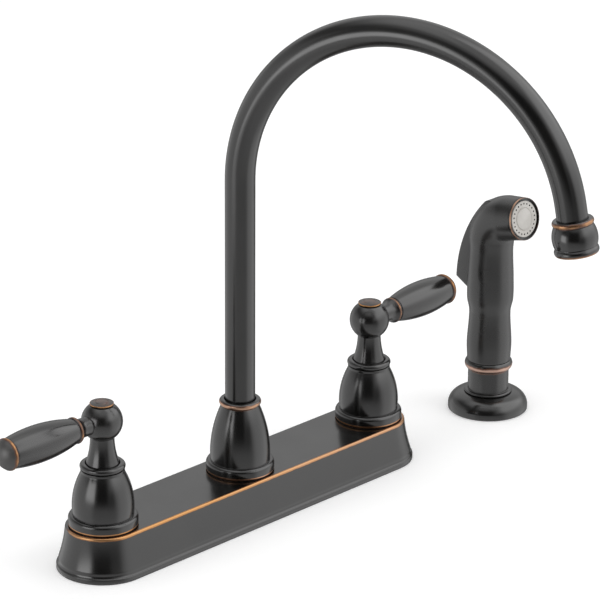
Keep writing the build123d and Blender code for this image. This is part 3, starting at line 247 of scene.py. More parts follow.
def new_mesh(name, points, faces, wear=None):
    """A smooth closed mesh from points in millimetres, each with its wear."""
    mesh = bpy.data.meshes.new(name)
    mesh.from_pydata([Vector(p) * MM for p in points], [], faces)
    worn = mesh.attributes.new(WEAR, "FLOAT", "POINT")
    if wear:
        worn.data.foreach_set("value", wear)
    work = bmesh.new()
    work.from_mesh(mesh)
    return finished(mesh, work)


def skin(rings):
    """Faces between neighbouring rings of point numbers; the last ring meets the first."""
    faces = []
    for i, ring in enumerate(rings):
        after = rings[(i + 1) % len(rings)]
        count = max(len(ring), len(after))
        if count == 1:
            continue
        for k in range(count):
            j = (k + 1) % count
            corners = [ring[k % len(ring)], ring[j % len(ring)]]
            corners += [after[j % len(after)], after[k % len(after)]]
            faces.append(list(dict.fromkeys(corners)))
    return faces


def turned(name, outline, place, rubs=(), corner=CORNER_ROUND):
    """Carry a closed outline of (radius, height) round the Z axis of a place."""
    points = []
    wear = []
    rings = []
    for r, z in even(broken(outline, corner), rubs):
        count = SEGMENTS if r > ON_AXIS else 1
        rings.append(range(len(points), len(points) + count))
        for k in range(count):
            turn = tau * k / count
            points.append(place @ Vector((r * cos(turn), r * sin(turn), z)))
        wear.extend([wear_at(Vector((r, z)), rubs)] * count)
    return new_mesh(name, points, skin(rings), wear)


def at(x, y=0, z=0):
    """An upright place at a point in millimetres."""
    return Matrix.Translation((x, y, z))


print("a turned piece has", SEGMENTS, "points in each ring")

# %% [markdown]
# The finish is a dark bronze lacquer over copper plate. It has three layers of detail,
# and more than one material needs them, so each is a node group that is built once:
# a mask for rubbed edges, a fine satin grain, and a slow cloudiness in the colour.

# %% Node groups
NUMBER = "NodeSocketFloat"
WEAR_STARTS = 0.2
WEAR_IS_FULL = 0.72
PATCHY = 0.35                   # how far the wear breaks up into patches


def new_group(name, inputs, outputs):
    """An empty shader group with named numbers going in and out."""
    group = bpy.data.node_groups.new(name, "ShaderNodeTree")
    for label, value in inputs.items():
        socket = group.interface.new_socket(label, in_out="INPUT", socket_type=NUMBER)
        socket.default_value = value
    for label in outputs:
        group.interface.new_socket(label, in_out="OUTPUT", socket_type=NUMBER)
    enter = group.nodes.new("NodeGroupInput")
    leave = group.nodes.new("NodeGroupOutput")
    return group, enter, leave


def feed(tree, socket, value):
    """Give a socket a number or a colour of its own, or a link from another socket."""
    if isinstance(value, bpy.types.NodeSocket):
        tree.links.new(value, socket)
    elif isinstance(value, tuple):
        socket.default_value = (*value, 1)
    else:
        socket.default_value = value


def feed_all(tree, node, **values):
    """Feed a node's sockets by their names, where _ stands for a space."""
    for label, value in values.items():
        feed(tree, node.inputs[label.replace("_", " ")], value)
    return node


def math(tree, kind, a, b):
    """A Math node; each of a and b is a number or a socket."""
    node = tree.nodes.new("ShaderNodeMath")
    node.operation = kind
    feed(tree, node.inputs[0], a)
    feed(tree, node.inputs[1], b)
    return node.outputs[0]


def noise(tree, scale, detail=2.0):
    """Noise in the piece's own coordinates, in metres, so that it never slides."""
    place = tree.nodes.new("ShaderNodeTexCoord").outputs["Object"]
    node = tree.nodes.new("ShaderNodeTexNoise")
    return feed_all(tree, node, Vector=place, Scale=scale, Detail=detail).outputs["Fac"]


def spread(tree, value, low, high, out_low, out_high):
    """Map a value from one range to another with soft ends."""
    node = tree.nodes.new("ShaderNodeMapRange")
    node.interpolation_type = "SMOOTHSTEP"
    feed_all(tree, node, Value=value, From_Min=low, From_Max=high, To_Min=out_low, To_Max=out_high)
    return node.outputs["Result"]


# the same mask also opens in two hollows, where rubs paint shade
rubbed_edge, enter, leave = new_group(
    "Rubbed edge", {"Worn": 0.0, "Breakup Scale": 260.0, "Breakup": PATCHY}, ["Mask"])
patches = math(rubbed_edge, "SUBTRACT", noise(rubbed_edge, enter.outputs["Breakup Scale"]), 0.5)
patches = math(rubbed_edge, "MULTIPLY", patches, enter.outputs["Breakup"])
patches = math(rubbed_edge, "ADD", patches, enter.outputs["Worn"])
opened = spread(rubbed_edge, patches, WEAR_STARTS, WEAR_IS_FULL, 0, 1)
rubbed_edge.links.new(opened, leave.inputs["Mask"])

satin_grain, enter, leave = new_group(
    "Satin grain", {"Grain Scale": 1800.0, "Smoothest": 0.2, "Roughest": 0.3},
    ["Roughness", "Height"])
satin_grain.links.new(noise(satin_grain, enter.outputs["Grain Scale"]), leave.inputs["Height"])
cloud = spread(satin_grain, noise(satin_grain, 45.0, 4.0), 0.3, 0.7,
               enter.outputs["Smoothest"], enter.outputs["Roughest"])
satin_grain.links.new(cloud, leave.inputs["Roughness"])

cloudiness, enter, leave = new_group("Cloudiness", {"Cloud Scale": 30.0}, ["Amount"])
drift = noise(cloudiness, enter.outputs["Cloud Scale"], 4.0)
cloudiness.links.new(spread(cloudiness, drift, 0.35, 0.65, 0, 1), leave.inputs["Amount"])
print("node groups:", [g.name for g in bpy.data.node_groups])

# %% [markdown]
# Each material places the groups with its own values. The lacquer itself is almost black
# and isn't metallic: it shows the room by its gloss alone, stronger where the eye grazes
# it, which is why the top of the plate looks paler than the bells. Where the wear mask
# opens, a dark red brown comes first and then bright copper. The copper isn't one colour:
# it is golden on most pieces, and rosy round the spout's foot and on the sprayer. On the
# levers' end buttons the lacquer is rubbed thin, so they are duller and a little paler.


# %% Materials
def mix(tree, amount, a, b):
    """Mix two colours; each of a and b is a colour or a socket."""
    node = tree.nodes.new("ShaderNodeMix")
    node.data_type = "RGBA"
    feed(tree, node.inputs["Factor"], amount)
    feed(tree, node.inputs[6], a)       # the sockets for colours follow those for numbers
    feed(tree, node.inputs[7], b)
    return node.outputs[2]


def use(tree, group, **values):
    """Place a node group in a material, with its sockets fed."""
    node = tree.nodes.new("ShaderNodeGroup")
    node.node_tree = group
    return feed_all(tree, node, **values)


def new_material(name):
    """A new material, with its node tree and its shader."""
    material = bpy.data.materials.new(name)
    material.use_nodes = True
    return material, material.node_tree, material.node_tree.nodes["Principled BSDF"]


GRAIN_DEPTH = 0.0002


def finish_of(name, dark, light, smoothest, roughest, grain=1800.0, bump=0.03,
              cloud_scale=30.0, metallic=0.0):
    """A material with cloudy colour and satin grain; returns it with its shader."""
    material, tree, shader = new_material(name)
    amount = use(tree, cloudiness, Cloud_Scale=cloud_scale).outputs["Amount"]
    satin = use(tree, satin_grain, Grain_Scale=grain, Smoothest=smoothest, Roughest=roughest)
    relief = tree.nodes.new("ShaderNodeBump")
    feed_all(tree, relief, Strength=bump, Distance=GRAIN_DEPTH, Height=satin.outputs["Height"])
    feed_all(tree, shader, Base_Color=mix(tree, amount, dark, light), Metallic=metallic,
             Roughness=satin.outputs["Roughness"], Normal=relief.outputs["Normal"])
    return material, shader


COPPER_GOLD = (0.5, 0.255, 0.1)
COPPER_WARM = (0.48, 0.27, 0.15)
COPPER_ROSE = (0.54, 0.36, 0.29)
COPPER_SATIN = 0.3
COPPER_CLOUDS = 16.0
# the brown where the lacquer wears through; it also paints shade in the hollows under the flanges and
# the collar bead
BROWN_OF_WEAR_AND_SHADE = (0.085, 0.03, 0.014)


def let_copper_through(material, shader, one_tint, other_tint):
    """Open the finish along rubbed edges, and in two hollows as painted shade: brown first, then copper
    of a drifting tint.
    """
    tree = material.node_tree
    worn = tree.nodes.new("ShaderNodeAttribute")
    worn.attribute_name = WEAR
    mask = use(tree, rubbed_edge, Worn=worn.outputs["Fac"], Breakup=PATCHY).outputs["Mask"]
    lacquer = shader.inputs["Base Color"].links[0].from_socket
    satin = shader.inputs["Roughness"].links[0].from_socket
    brown = mix(tree, spread(tree, mask, 0, 0.4, 0, 1), lacquer, BROWN_OF_WEAR_AND_SHADE)
    tint = use(tree, cloudiness, Cloud_Scale=COPPER_CLOUDS).outputs["Amount"]
    copper = mix(tree, tint, one_tint, other_tint)
    bare = mix(tree, spread(tree, mask, 0.35, 1, 0, 1), brown, copper)
    feed_all(tree, shader, Base_Color=bare, Metallic=spread(tree, mask, 0.2, 0.8, 0, 1),
             Roughness=spread(tree, mask, 0, 1, satin, COPPER_SATIN))


LACQUER = ((0.0028, 0.0026, 0.0025), (0.0065, 0.0059, 0.0054))
THIN_LACQUER = ((0.022, 0.021, 0.0205), (0.034, 0.032, 0.031))
HARD_GLOSS = 1.72               # a hard plated finish mirrors more than paint


def rubbed_bronze(name, one_tint, other_tint, lacquer=LACQUER, satin=(0.17, 0.23)):
    """The dark lacquer over copper, with the tints of copper that its edges show."""
    material, shader = finish_of(name, *lacquer, *satin, bump=0.015)
    shader.inputs["IOR"].default_value = HARD_GLOSS
    let_copper_through(material, shader, one_tint, other_tint)
    return material


bronze = rubbed_bronze("bronze_finish", COPPER_GOLD, COPPER_WARM)
rose_bronze = rubbed_bronze("bronze_rubbed_rose", COPPER_WARM, COPPER_ROSE)
handled_bronze = rubbed_bronze("bronze_handled", COPPER_GOLD, COPPER_WARM, THIN_LACQUER, (0.36, 0.44))
wand_plastic, shader = finish_of("wand_shell", (0.004, 0.0038, 0.0037), (0.008, 0.0075, 0.0071),
                                 0.24, 0.31, grain=1200.0)
shader.inputs["IOR"].default_value = HARD_GLOSS
pale, _ = finish_of("pale_face", (0.5, 0.48, 0.45), (0.58, 0.56, 0.53), 0.36, 0.44,
                    grain=900.0, bump=0.05, cloud_scale=80.0)
brass, _ = finish_of("brass", (0.62, 0.42, 0.16), (0.75, 0.55, 0.24), 0.28, 0.42,
                     metallic=1.0)
tube_copper, _ = finish_of("copper_tube", (0.6, 0.27, 0.13), (0.78, 0.4, 0.22), 0.25, 0.4,
                           metallic=1.0)
steel, _ = finish_of("steel", (0.46, 0.46, 0.47), (0.58, 0.58, 0.58), 0.25, 0.38,
                     metallic=1.0)
# dark rubber for the seals; it also paints shade on the walls of the nozzle holes
rubber, _ = finish_of("rubber", (0.018, 0.018, 0.019), (0.03, 0.03, 0.031), 0.6, 0.75,
                      grain=1500.0, bump=0.15)
ceramic, _ = finish_of("ceramic", (0.72, 0.72, 0.7), (0.8, 0.8, 0.78), 0.12, 0.2)
nylon, _ = finish_of("nylon", (0.6, 0.6, 0.57), (0.7, 0.7, 0.66), 0.4, 0.5, bump=0.08)
print("materials:", [m.name for m in bpy.data.materials])


def dress(piece, material, body, node):
    """Finish a new piece: its material, the body it rides on and the node it stands for."""
    if not piece.data.materials:
        piece.data.materials.append(material)
    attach(piece, body)
    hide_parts(node)
    print(piece.name, len(piece.data.polygons), "faces")
    return piece


# %% [markdown]
# The deck plate is a long cast cover with round ends. Its side isn't a plain slope: a
# small upright band at the foot, a hollow step, and then a gently hollow side up to a
# soft top edge, where the copper shows all along. One section is carried round the
# plate, as a router follows a template, and the flat top is filled in round its holes.
# Nobody reaches behind the faucet, so the wear fades out towards the plate's back.

# %% Deck plate
FOOT_BAND = 2.8
FOOT_BAND_BOW = 0.16
FOOT_STEP = 2.4
FOOT_STEP_DEPTH = 1.1
FOOT_STEP_HOLLOW = 0.3
SIDE_HOLLOW = 0.5
TOP_EDGE = 0.9
TOP_R = 20.3
PLATE_WALL = 2.2
VALVE_HOLE_R = 12.7
SPOUT_HOLE_R = 12.0
FLAT_MARGIN = 1.6               # a flat strip where the wear ends and the shading evens out
END_STEPS = 40
SIDE_STEPS = 40
BACK_FADE = 12.0
BACK_SHARE = 0.25
HOLES = ((-HANDLE_X, VALVE_HOLE_R), (0, SPOUT_HOLE_R), (HANDLE_X, VALVE_HOLE_R))

foot_r = plate.high.y
step_r = foot_r - FOOT_STEP_DEPTH
flat_r = TOP_R - TOP_EDGE - FLAT_MARGIN
ceiling_z = PLATE_TOP - PLATE_WALL
band_top = (foot_r, FOOT_BAND - FOOT_STEP_DEPTH / 2)
step_low = (foot_r - FOOT_STEP_DEPTH / 2, FOOT_BAND)
step_high = (step_r, FOOT_BAND + FOOT_STEP)
plate_side = [
    (foot_r, 0), band_top,
    *bow(band_top, step_low, -FOOT_BAND_BOW, 4)[1:],
    *bow(step_low, step_high, FOOT_STEP_HOLLOW, 6)[1:],
    *bow(step_high, (TOP_R, PLATE_TOP - TOP_EDGE), SIDE_HOLLOW, 18)[1:],
    *rounded_edge(TOP_R, PLATE_TOP, TOP_EDGE, 6)[1:],
    (flat_r, PLATE_TOP),
]
plate_inside = [(flat_r, ceiling_z), (TOP_R - PLATE_WALL, ceiling_z), (step_r - PLATE_WALL, 0)]
plate_rubs = [(TOP_R - 0.2, PLATE_TOP - TOP_EDGE * 0.4, 2.2, 0.9)]


def round_the_plate(r, z):
    """One ring of points at a distance from the line through the three holes."""
    ring = []
    for side in (1, -1):
        for k in range(END_STEPS):
            turn = pi * k / END_STEPS - side * pi / 2
            ring.append((side * HANDLE_X + r * cos(turn), r * sin(turn), z))
        for k in range(SIDE_STEPS):
            ring.append((side * HANDLE_X * (1 - 2 * k / SIDE_STEPS), side * r, z))
    return ring


def front_share(y):
    """Hands rub the front of the plate most, and the wear fades out towards the back."""
    return 1 - (1 - BACK_SHARE) * eased(y / BACK_FADE)


def circle(x, r, z):
    """A ring of points round a hole."""
    turns = [tau * k / SEGMENTS for k in range(SEGMENTS)]
    return [(x + r * cos(t), r * sin(t), z) for t in turns]


def cast_plate(name):
    """The section carried round, with the top and the ceiling filled round the holes."""
    work = bmesh.new()
    worn = work.verts.layers.float.new(WEAR)

    def ring_of(points, wear=0.0):
        ring = [work.verts.new(Vector(p) * MM) for p in points]
        for vertex in ring:
            vertex[worn] = wear * front_share(vertex.co.y / MM)
        return ring

    def join(a, b):
        for k, corner in enumerate(a):
            work.faces.new((a[k - 1], corner, b[k], b[k - 1]))

    def fill(loops):
        edges = [work.edges.get((a, b)) for loop in loops for a, b in zip(loop, loop[1:] + loop[:1])]
        bmesh.ops.triangle_fill(work, edges=edges, use_beauty=True)

    section = even([Vector(p) for p in plate_side + plate_inside], plate_rubs)
    rings = [ring_of(round_the_plate(p.x, p.y), wear_at(p, plate_rubs)) for p in section]
    top = min(range(len(section)), key=lambda i: (section[i] - Vector(plate_side[-1])).length)
    ceiling = min(range(len(section)), key=lambda i: (section[i] - Vector(plate_inside[0])).length)
    for i, ring in enumerate(rings):
        if not top < i <= ceiling:
            join(rings[i - 1], ring)
    for ring in rings[top + 1:ceiling]:
        bmesh.ops.delete(work, geom=ring, context="VERTS")
    holes = []
    for rim, z in ((rings[top], PLATE_TOP), (rings[ceiling], ceiling_z)):
        edges = [ring_of(circle(x, r, z)) for x, r in HOLES]
        borders = [ring_of(circle(x, r + FLAT_MARGIN, z)) for x, r in HOLES]
        for edge, border in zip(edges, borders):
            join(edge, border)
        fill([rim, *borders])
        holes.append(edges)
    for upper, lower in zip(*holes):
        join(upper, lower)
    return finished(bpy.data.meshes.new(name), work)


dress(cast_plate("deck_plate_cast"), bronze, "deck_assembly", "deck_plate")

# %% [markdown]
# The bells are spun covers. A flange stands on a slightly smaller foot, so that a dark
# line shows under it, and that lower edge is rubbed to copper. The foot in the shade under
# the flange is painted a reddish brown, as painted shade. The handle bells end in a
# small step and a round bead. The spout bell ends in a ring that is worn over most of its
# face.

# %% Bells
FLANGE_EDGE = 2.0
FLANGE_INSET = 0.8
FLANGE_FOOT = 0.7
FLANGE_TOP = PLATE_TOP + 6.2
BELL_R = 16.3
BELL_WALL = 2.2
BELL_SWELL = 1.9
HANDLE_NECK_R = 11.4
HANDLE_NECK = FLANGE_TOP + 24.2
NECK_STEP_R = 11.7
NECK_STEP = 1.4
BEAD_R = 12.1
HUB_HOLE_R = 9.25
SPOUT_NECK_R = 10.2
SPOUT_NECK = FLANGE_TOP + 31.8
RING_R = 11.4
TUBE_HOLE_R = 8.65


def flange_outline():
    """The foot of a bell, from its inside edge up to where the wall starts."""
    r = hot_bell.radius
    foot_top = PLATE_TOP + FLANGE_FOOT
    return [
        (BELL_R - BELL_WALL, PLATE_TOP), (r - FLANGE_INSET, PLATE_TOP),
        (r - FLANGE_INSET, foot_top), (r, foot_top),
        *rounded_edge(r, FLANGE_TOP, FLANGE_EDGE, 8),
        (BELL_R, FLANGE_TOP),
    ]


def bell_inside(hole_r, top, neck):
    """The bore of a bell and its hollow underside, from the top down to the flange."""
    return [
        (hole_r, top), (hole_r, neck - BELL_WALL),
        *bow((hole_r, neck - BELL_WALL), (BELL_R - BELL_WALL, FLANGE_TOP), BELL_SWELL, 12)[1:],
    ]


flange_wear_and_shade = [
    (hot_bell.radius, PLATE_TOP + FLANGE_FOOT + 0.25, 1.15, 0.95),
    # the foot under the flange: painted shade, a reddish brown where the flange shades it
    (hot_bell.radius - FLANGE_INSET, PLATE_TOP + FLANGE_FOOT / 2, 0.8, 0.45),
]
bell_top = hot_bell.high.z
step_top = HANDLE_NECK + NECK_STEP
half_bead = (bell_top - step_top) / 2
bell_outline = [
    *flange_outline(),
    *bow((BELL_R, FLANGE_TOP), (HANDLE_NECK_R, HANDLE_NECK), -BELL_SWELL, 24)[1:],
    (NECK_STEP_R, HANDLE_NECK), (NECK_STEP_R, step_top),
    *bead(BEAD_R - half_bead, step_top, bell_top, half_bead),
    *bell_inside(HUB_HOLE_R, bell_top, HANDLE_NECK),
]
HANDS = ((-1, "hot"), (1, "cold"))
for side, hand in HANDS:
    bell = turned(f"{hand}_bell_turned", bell_outline, at(side * HANDLE_X), flange_wear_and_shade)
    dress(bell, bronze, "deck_assembly", f"{hand}_bell")

ring_top = spout_bell.high.z
ring_half = (ring_top - SPOUT_NECK) / 2
ring_wear_and_shade = [*flange_wear_and_shade, (RING_R - 0.3, SPOUT_NECK + ring_half * 0.7, 2.9, 0.85)]
spout_outline = [
    *flange_outline(),
    *bow((BELL_R, FLANGE_TOP), (SPOUT_NECK_R, SPOUT_NECK), -BELL_SWELL, 26)[1:],
    *bead(RING_R - ring_half, SPOUT_NECK, ring_top, ring_half),
    *bell_inside(TUBE_HOLE_R, ring_top, SPOUT_NECK),
]
dress(turned("spout_bell_turned", spout_outline, at(0), ring_wear_and_shade),
      rose_bronze, "deck_assembly", "spout_bell")

# %% [markdown]
# Each handle is a ball on a waisted neck with a barrel shaped lever. The ball keeps its
# real bore and screw well, so that the inner pieces have room. A low button closes the
# well, with its rim clear of the ball.

# %% Handle hubs and their buttons
BALL_R = 11.0
BALL_Z = 82.5
HUB_FOOT_R = 8.9
HUB_REACH = 3.4                 # how far the neck's foot stands down into the bell
HUB_FOOT = bell_top - HUB_REACH
HUB_NECK_R = 6.4
HUB_WAIST = 0.6
STEM_HOLE_R = 4.05
STEM_TOP = 72.3
SCREW_HOLE_R = 2.0
WEB_TOP = 75.5
WELL_R = 4.9
CAP_R = 6.35
CAP_RIM = 1.3
CAP_FOOT = 0.65                 # the rim stands clear of the ball, over a dark undercut
CAP_UNDERCUT = 0.85
CAP_CROWN = 0.9
CAP_GROOVE_R = 3.4              # a fine turned ring on the button's crown
CAP_GROOVE_HALF = 0.3
CAP_GROOVE = 0.22
CAP_STEPS = 50
CAP_PLUG = 3.5
FIT = 0.05                      # what fits into or onto another piece clears it by this
cap_seat = BALL_Z + sqrt(BALL_R**2 - CAP_R**2)
neck_meets_ball = BALL_Z - sqrt(BALL_R**2 - HUB_NECK_R**2)


def ball_arc(first, last, steps=30):
    """Points up the ball's side between two heights."""
    a = asin((first - BALL_Z) / BALL_R)
    b = asin((last - BALL_Z) / BALL_R)
    turns = [a + (b - a) * i / steps for i in range(steps + 1)]
    return [(BALL_R * cos(t), BALL_Z + BALL_R * sin(t)) for t in turns]


hub_outline = [
    (STEM_HOLE_R, HUB_FOOT), (HUB_FOOT_R, HUB_FOOT), (HUB_FOOT_R, bell_top),
    *bow((HUB_FOOT_R, bell_top), (HUB_NECK_R, neck_meets_ball), HUB_WAIST)[1:],
    *ball_arc(neck_meets_ball, cap_seat)[1:],
    (WELL_R, cap_seat), (WELL_R, WEB_TOP), (SCREW_HOLE_R, WEB_TOP),
    (SCREW_HOLE_R, STEM_TOP), (STEM_HOLE_R, STEM_TOP),
]
cap_top = cap_seat + CAP_RIM + CAP_CROWN


def button_crown(r):
    """A point of the index button's low crown, with the fine ring dipping into it."""
    dip = CAP_GROOVE * max(0, 1 - abs(r - CAP_GROOVE_R) / CAP_GROOVE_HALF)
    return (r, cap_top - CAP_CROWN * (r / CAP_R) ** 2 - dip)


cap_outline = [
    (0, cap_seat - CAP_PLUG), (WELL_R - FIT, cap_seat - CAP_PLUG),
    (WELL_R - FIT, cap_seat), (CAP_R - CAP_UNDERCUT, cap_seat),
    (CAP_R - CAP_UNDERCUT, cap_seat + CAP_FOOT), (CAP_R, cap_seat + CAP_FOOT),
    *[button_crown(CAP_R * (1 - k / CAP_STEPS)) for k in range(CAP_STEPS + 1)],
]
cap_rubs = [(CAP_R, cap_seat + CAP_FOOT + 0.3, 1.1, 0.75), (0, cap_top, 14.0, 0.42)]
print("the ball's button sits at", round(cap_seat, 2), "mm and ends at", round(cap_top, 2), "mm")

# %% [markdown]
# The lever is one turned piece with a bead near the ball, and a domed button closes its
# end. The button's bead and the lever's bead are where hands rub most, so both show
# copper.

# %% Levers
SWEEP = radians(2.0)
NECK_R = 5.1
NECK_END = 13.8
SEAT_STEPS = 6
FLARE = 4.0
FLARE_HOLLOW = 0.4
FLARE_R = 6.7
LEVER_BEAD_R = 7.2
LEVER_BEAD = 2.2
GROOVE_R = 6.5
GROOVE = 0.8
ROOT_R = 6.9
BELLY_R = 9.9
BELLY_AT = 23.0
TIP_R = 8.1
BARREL = 42.0
END_BEAD_R = 8.7
END_BEAD = 2.4
END_DOME = 4.4
END_DOME_BOW = 1.25
bead_low = NECK_END + FLARE
bead_high = bead_low + LEVER_BEAD
root = bead_high + GROOVE
tip = root + BARREL
seat_r = BALL_R + FIT


def barrel(steps=40):
    """The lever's belly: one arc through its root, its fattest place and its tip."""
    a = Vector((ROOT_R, root))
    b = Vector((BELLY_R, root + BELLY_AT))
    c = Vector((TIP_R, tip))
    half = (c - a).length / 2
    away = (c - a).normalized()
    offset = (b - a) - away * (b - a).dot(away)
    along = (b - a).dot(away) - half
    rise = offset.length
    radius = (half**2 - along**2 + rise**2) / (2 * rise)
    sagitta = radius - sqrt(radius**2 - half**2)
    return bow(tuple(a), tuple(c), -sagitta, steps)


seat = [NECK_R * k / SEAT_STEPS for k in range(1, SEAT_STEPS + 1)]
lever_outline = [
    (0, seat_r), *[(r, sqrt(seat_r**2 - r**2)) for r in seat], (NECK_R, NECK_END),
    *bow((NECK_R, NECK_END), (FLARE_R, bead_low), FLARE_HOLLOW, 8)[1:],
    *bead(FLARE_R, bead_low, bead_high, LEVER_BEAD_R - FLARE_R, 8)[1:],
    (GROOVE_R, bead_high), (GROOVE_R, root),
    *barrel(),
    (0, tip),
]
lever_rubs = [(LEVER_BEAD_R, (bead_low + bead_high) / 2, 2.2, 0.5)]
dome_low = tip + END_BEAD
button_outline = [
    (0, tip), (TIP_R, tip),
    *bead(TIP_R, tip, dome_low, END_BEAD_R - TIP_R, 8)[1:],
    *bow((TIP_R, dome_low), (0, dome_low + END_DOME), -END_DOME_BOW, 16)[1:],
]
button_rubs = [(END_BEAD_R, tip + END_BEAD / 2, 3.2, 0.53)]


def lever_place(side):
    """A place whose Z runs out along the lever from the middle of the ball."""
    heading = Matrix.Rotation(SWEEP if side > 0 else pi - SWEEP, 4, "Z")
    return at(side * HANDLE_X, 0, BALL_Z) @ heading @ Matrix.Rotation(pi / 2, 4, "Y")


for side, hand in HANDS:
    body = f"{hand}_handle"
    pieces = (
        ("handle_hub", hub_outline, at(side * HANDLE_X), (), bronze),
        ("index_cap", cap_outline, at(side * HANDLE_X), cap_rubs, bronze),
        ("lever", lever_outline, lever_place(side), lever_rubs, bronze),
        ("lever_cap", button_outline, lever_place(side), button_rubs, handled_bronze),
    )
    for part, outline, place, rubs, finish in pieces:
        piece = turned(f"{hand}_{part}_turned", outline, place, rubs)
        dress(piece, finish, body, f"{hand}_{part}")

# %% [markdown]
# The spout is one bent tube: an upright leg, a wide arch of nearly half a turn, and a
# short straight end. It is a real tube with a wall. Rings of points follow its middle
# line, each square to the line, so the arch stays round.

# %% Spout
ARCH_R = 94.9
ARCH_Z = 189.7
ARCH_TURN = radians(170.0)
SWING = radians(17.5)
TUBE_R = 8.15
TUBE_WALL = 1.2
LEG_FOOT = Size("gooseneck").low.z
STRAIGHT_END = 11.4
ARCH_STEPS = 110
LEG_STEPS = 30
END_STEPS_DOWN = 4
TUBE_SIDES = 64
swing = Matrix.Rotation(SWING, 4, "Z")


def on_bend(radius, turn, foot):
    """A point of a bend that starts upright at a height, and the way off its centre."""
    point = Vector((0, -radius * (1 - cos(turn)), foot + radius * sin(turn)))
    return point, Vector((0, cos(turn), sin(turn)))


def after_bend(turn):
    """The direction in which a line leaves a bend."""
    return Vector((0, -sin(turn), cos(turn)))


def rings_along(stations, count):
    """Rings of points along a bent line, from its middles, ways off and radii."""
    points = []
    rings = []
    for middle, out, radius in stations:
        rings.append(range(len(points), len(points) + count))
        for k in range(count):
            turn = tau * k / count
            points.append(middle + Vector((radius * cos(turn), 0, 0)) + out * radius * sin(turn))
    return points, rings


def bent_tube(name):
    """The tube's outer skin from foot to end, and its bore on the way back."""
    rise = ARCH_Z - LEG_FOOT
    heights = [LEG_FOOT + rise * k / LEG_STEPS for k in range(LEG_STEPS)]
    line = [(Vector((0, 0, height)), Vector((0, 1, 0))) for height in heights]
    line.extend(on_bend(ARCH_R, ARCH_TURN * k / ARCH_STEPS, ARCH_Z) for k in range(ARCH_STEPS + 1))
    end, out = line[-1]
    down = after_bend(ARCH_TURN) * STRAIGHT_END
    line.extend((end + down * k / END_STEPS_DOWN, out) for k in range(1, END_STEPS_DOWN + 1))
    stations = [(*station, TUBE_R) for station in line]
    stations += [(*station, TUBE_R - TUBE_WALL) for station in reversed(line)]
    points, rings = rings_along(stations, TUBE_SIDES)
    return new_mesh(name, [swing @ p for p in points], skin(rings))


dress(bent_tube("gooseneck_bent"), bronze, "spout_arm", "gooseneck")

# %% [markdown]
# At the spout's end a ring and a bulb are soldered on, and the aerator's shell is screwed
# in from below. Only its rim shows. The ring is copper all round, and the rim is worn
# along its lower edge.

# %% Aerator
RING_LOW = 6.4
RING_LENGTH = 3.0
HOUSING_NECK_R = 10.2
OUTLET_RING_R = 10.9
BULB_LENGTH = 11.2
BULB_FOOT_R = 11.2
BULB_SWELL = 1.2
RIM_R = 11.7
RIM_NECK_R = 10.9
RIM_GAP = 0.5
RIM_LENGTH = 3.6
SHELL_R = 10.0
SHELL_THREAD = 4.1
SHELL_INNER_R = 8.0
SHELL_LEDGE = 1.0
INSERT_R = 9.05
THROAT_R = 6.6
WASHER_ROOM = 1.2
bulb_low = RING_LOW + RING_LENGTH
bulb_end = bulb_low + BULB_LENGTH
shell_low = bulb_end - SHELL_THREAD
rim_low = bulb_end + RIM_GAP
rim_end = rim_low + RIM_LENGTH
washer_low = shell_low - WASHER_ROOM
outlet_middle, _ = on_bend(ARCH_R, ARCH_TURN, ARCH_Z)
outlet = swing @ Matrix.Translation(outlet_middle) @ Matrix.Rotation(ARCH_TURN, 4, "X")

housing_outline = [
    (TUBE_R + FIT, RING_LOW), (HOUSING_NECK_R, RING_LOW),
    *bead(HOUSING_NECK_R, RING_LOW, bulb_low, OUTLET_RING_R - HOUSING_NECK_R, 10)[1:],
    *bow((HOUSING_NECK_R, bulb_low), (BULB_FOOT_R, bulb_end), -BULB_SWELL, 20)[1:],
    (SHELL_R + FIT, bulb_end), (SHELL_R + FIT, washer_low), (THROAT_R, washer_low),
    (THROAT_R, STRAIGHT_END), (TUBE_R + FIT, STRAIGHT_END),
]
housing_rubs = [(OUTLET_RING_R, (RING_LOW + bulb_low) / 2, 3.4, 0.56)]
dress(turned("aerator_housing_turned", housing_outline, outlet, housing_rubs),
      bronze, "spout_arm", "aerator_housing")

shell_outline = [
    (SHELL_INNER_R, shell_low), (SHELL_R, shell_low), (SHELL_R, bulb_end), (RIM_NECK_R, bulb_end),
    (RIM_NECK_R, rim_low), *bead(RIM_NECK_R, rim_low, rim_end, RIM_R - RIM_NECK_R)[1:],
    (INSERT_R, rim_end), (INSERT_R, shell_low + SHELL_LEDGE), (SHELL_INNER_R, shell_low + SHELL_LEDGE),
]
shell_rubs = [(RIM_NECK_R + 0.3, rim_end - 0.2, 2.5, 0.62)]
dress(turned("aerator_shell_turned", shell_outline, outlet, shell_rubs),
      bronze, "spout_arm", "aerator_shell")

# %% [markdown]
# The sprayer stands beside the faucet. Its base is a domed flange, and through it comes a
# collar with a small step ring below and a bead at its mouth, where the wand goes in and
# out, so the bead's lower half is worn. Just under the bead the tube is painted brown, as
# painted shade where the bead shades it.

# %% Sprayer base
FLANGE_RISE = 10.4
FLANGE_RIM = 3.0
CROWN_R = 17.6
CROWN_DROP = 0.9
CROWN_BOW = 0.12
DOME = 1.2
DOME_EDGE = 2.0
DOME_WALL = 2.9
COLLAR_R = 11.75
COLLAR_GAP = 0.3
STEP_R = 13.9
STEP_EDGE_R = 13.2
STEP = 1.6
COLLAR_BEAD_R = 13.8
COLLAR_BEAD_ROUND = 1.2
COLLAR_BEAD_LOW = 25.2
COLLAR_TOP = 30.3
GUIDE_R = 9.0
guide = Size("spray_guide")
flange_r = spray_flange.radius
shoulder = FLANGE_RISE - CROWN_DROP
under_crown = (COLLAR_R + COLLAR_GAP, FLANGE_RISE - DOME_WALL)

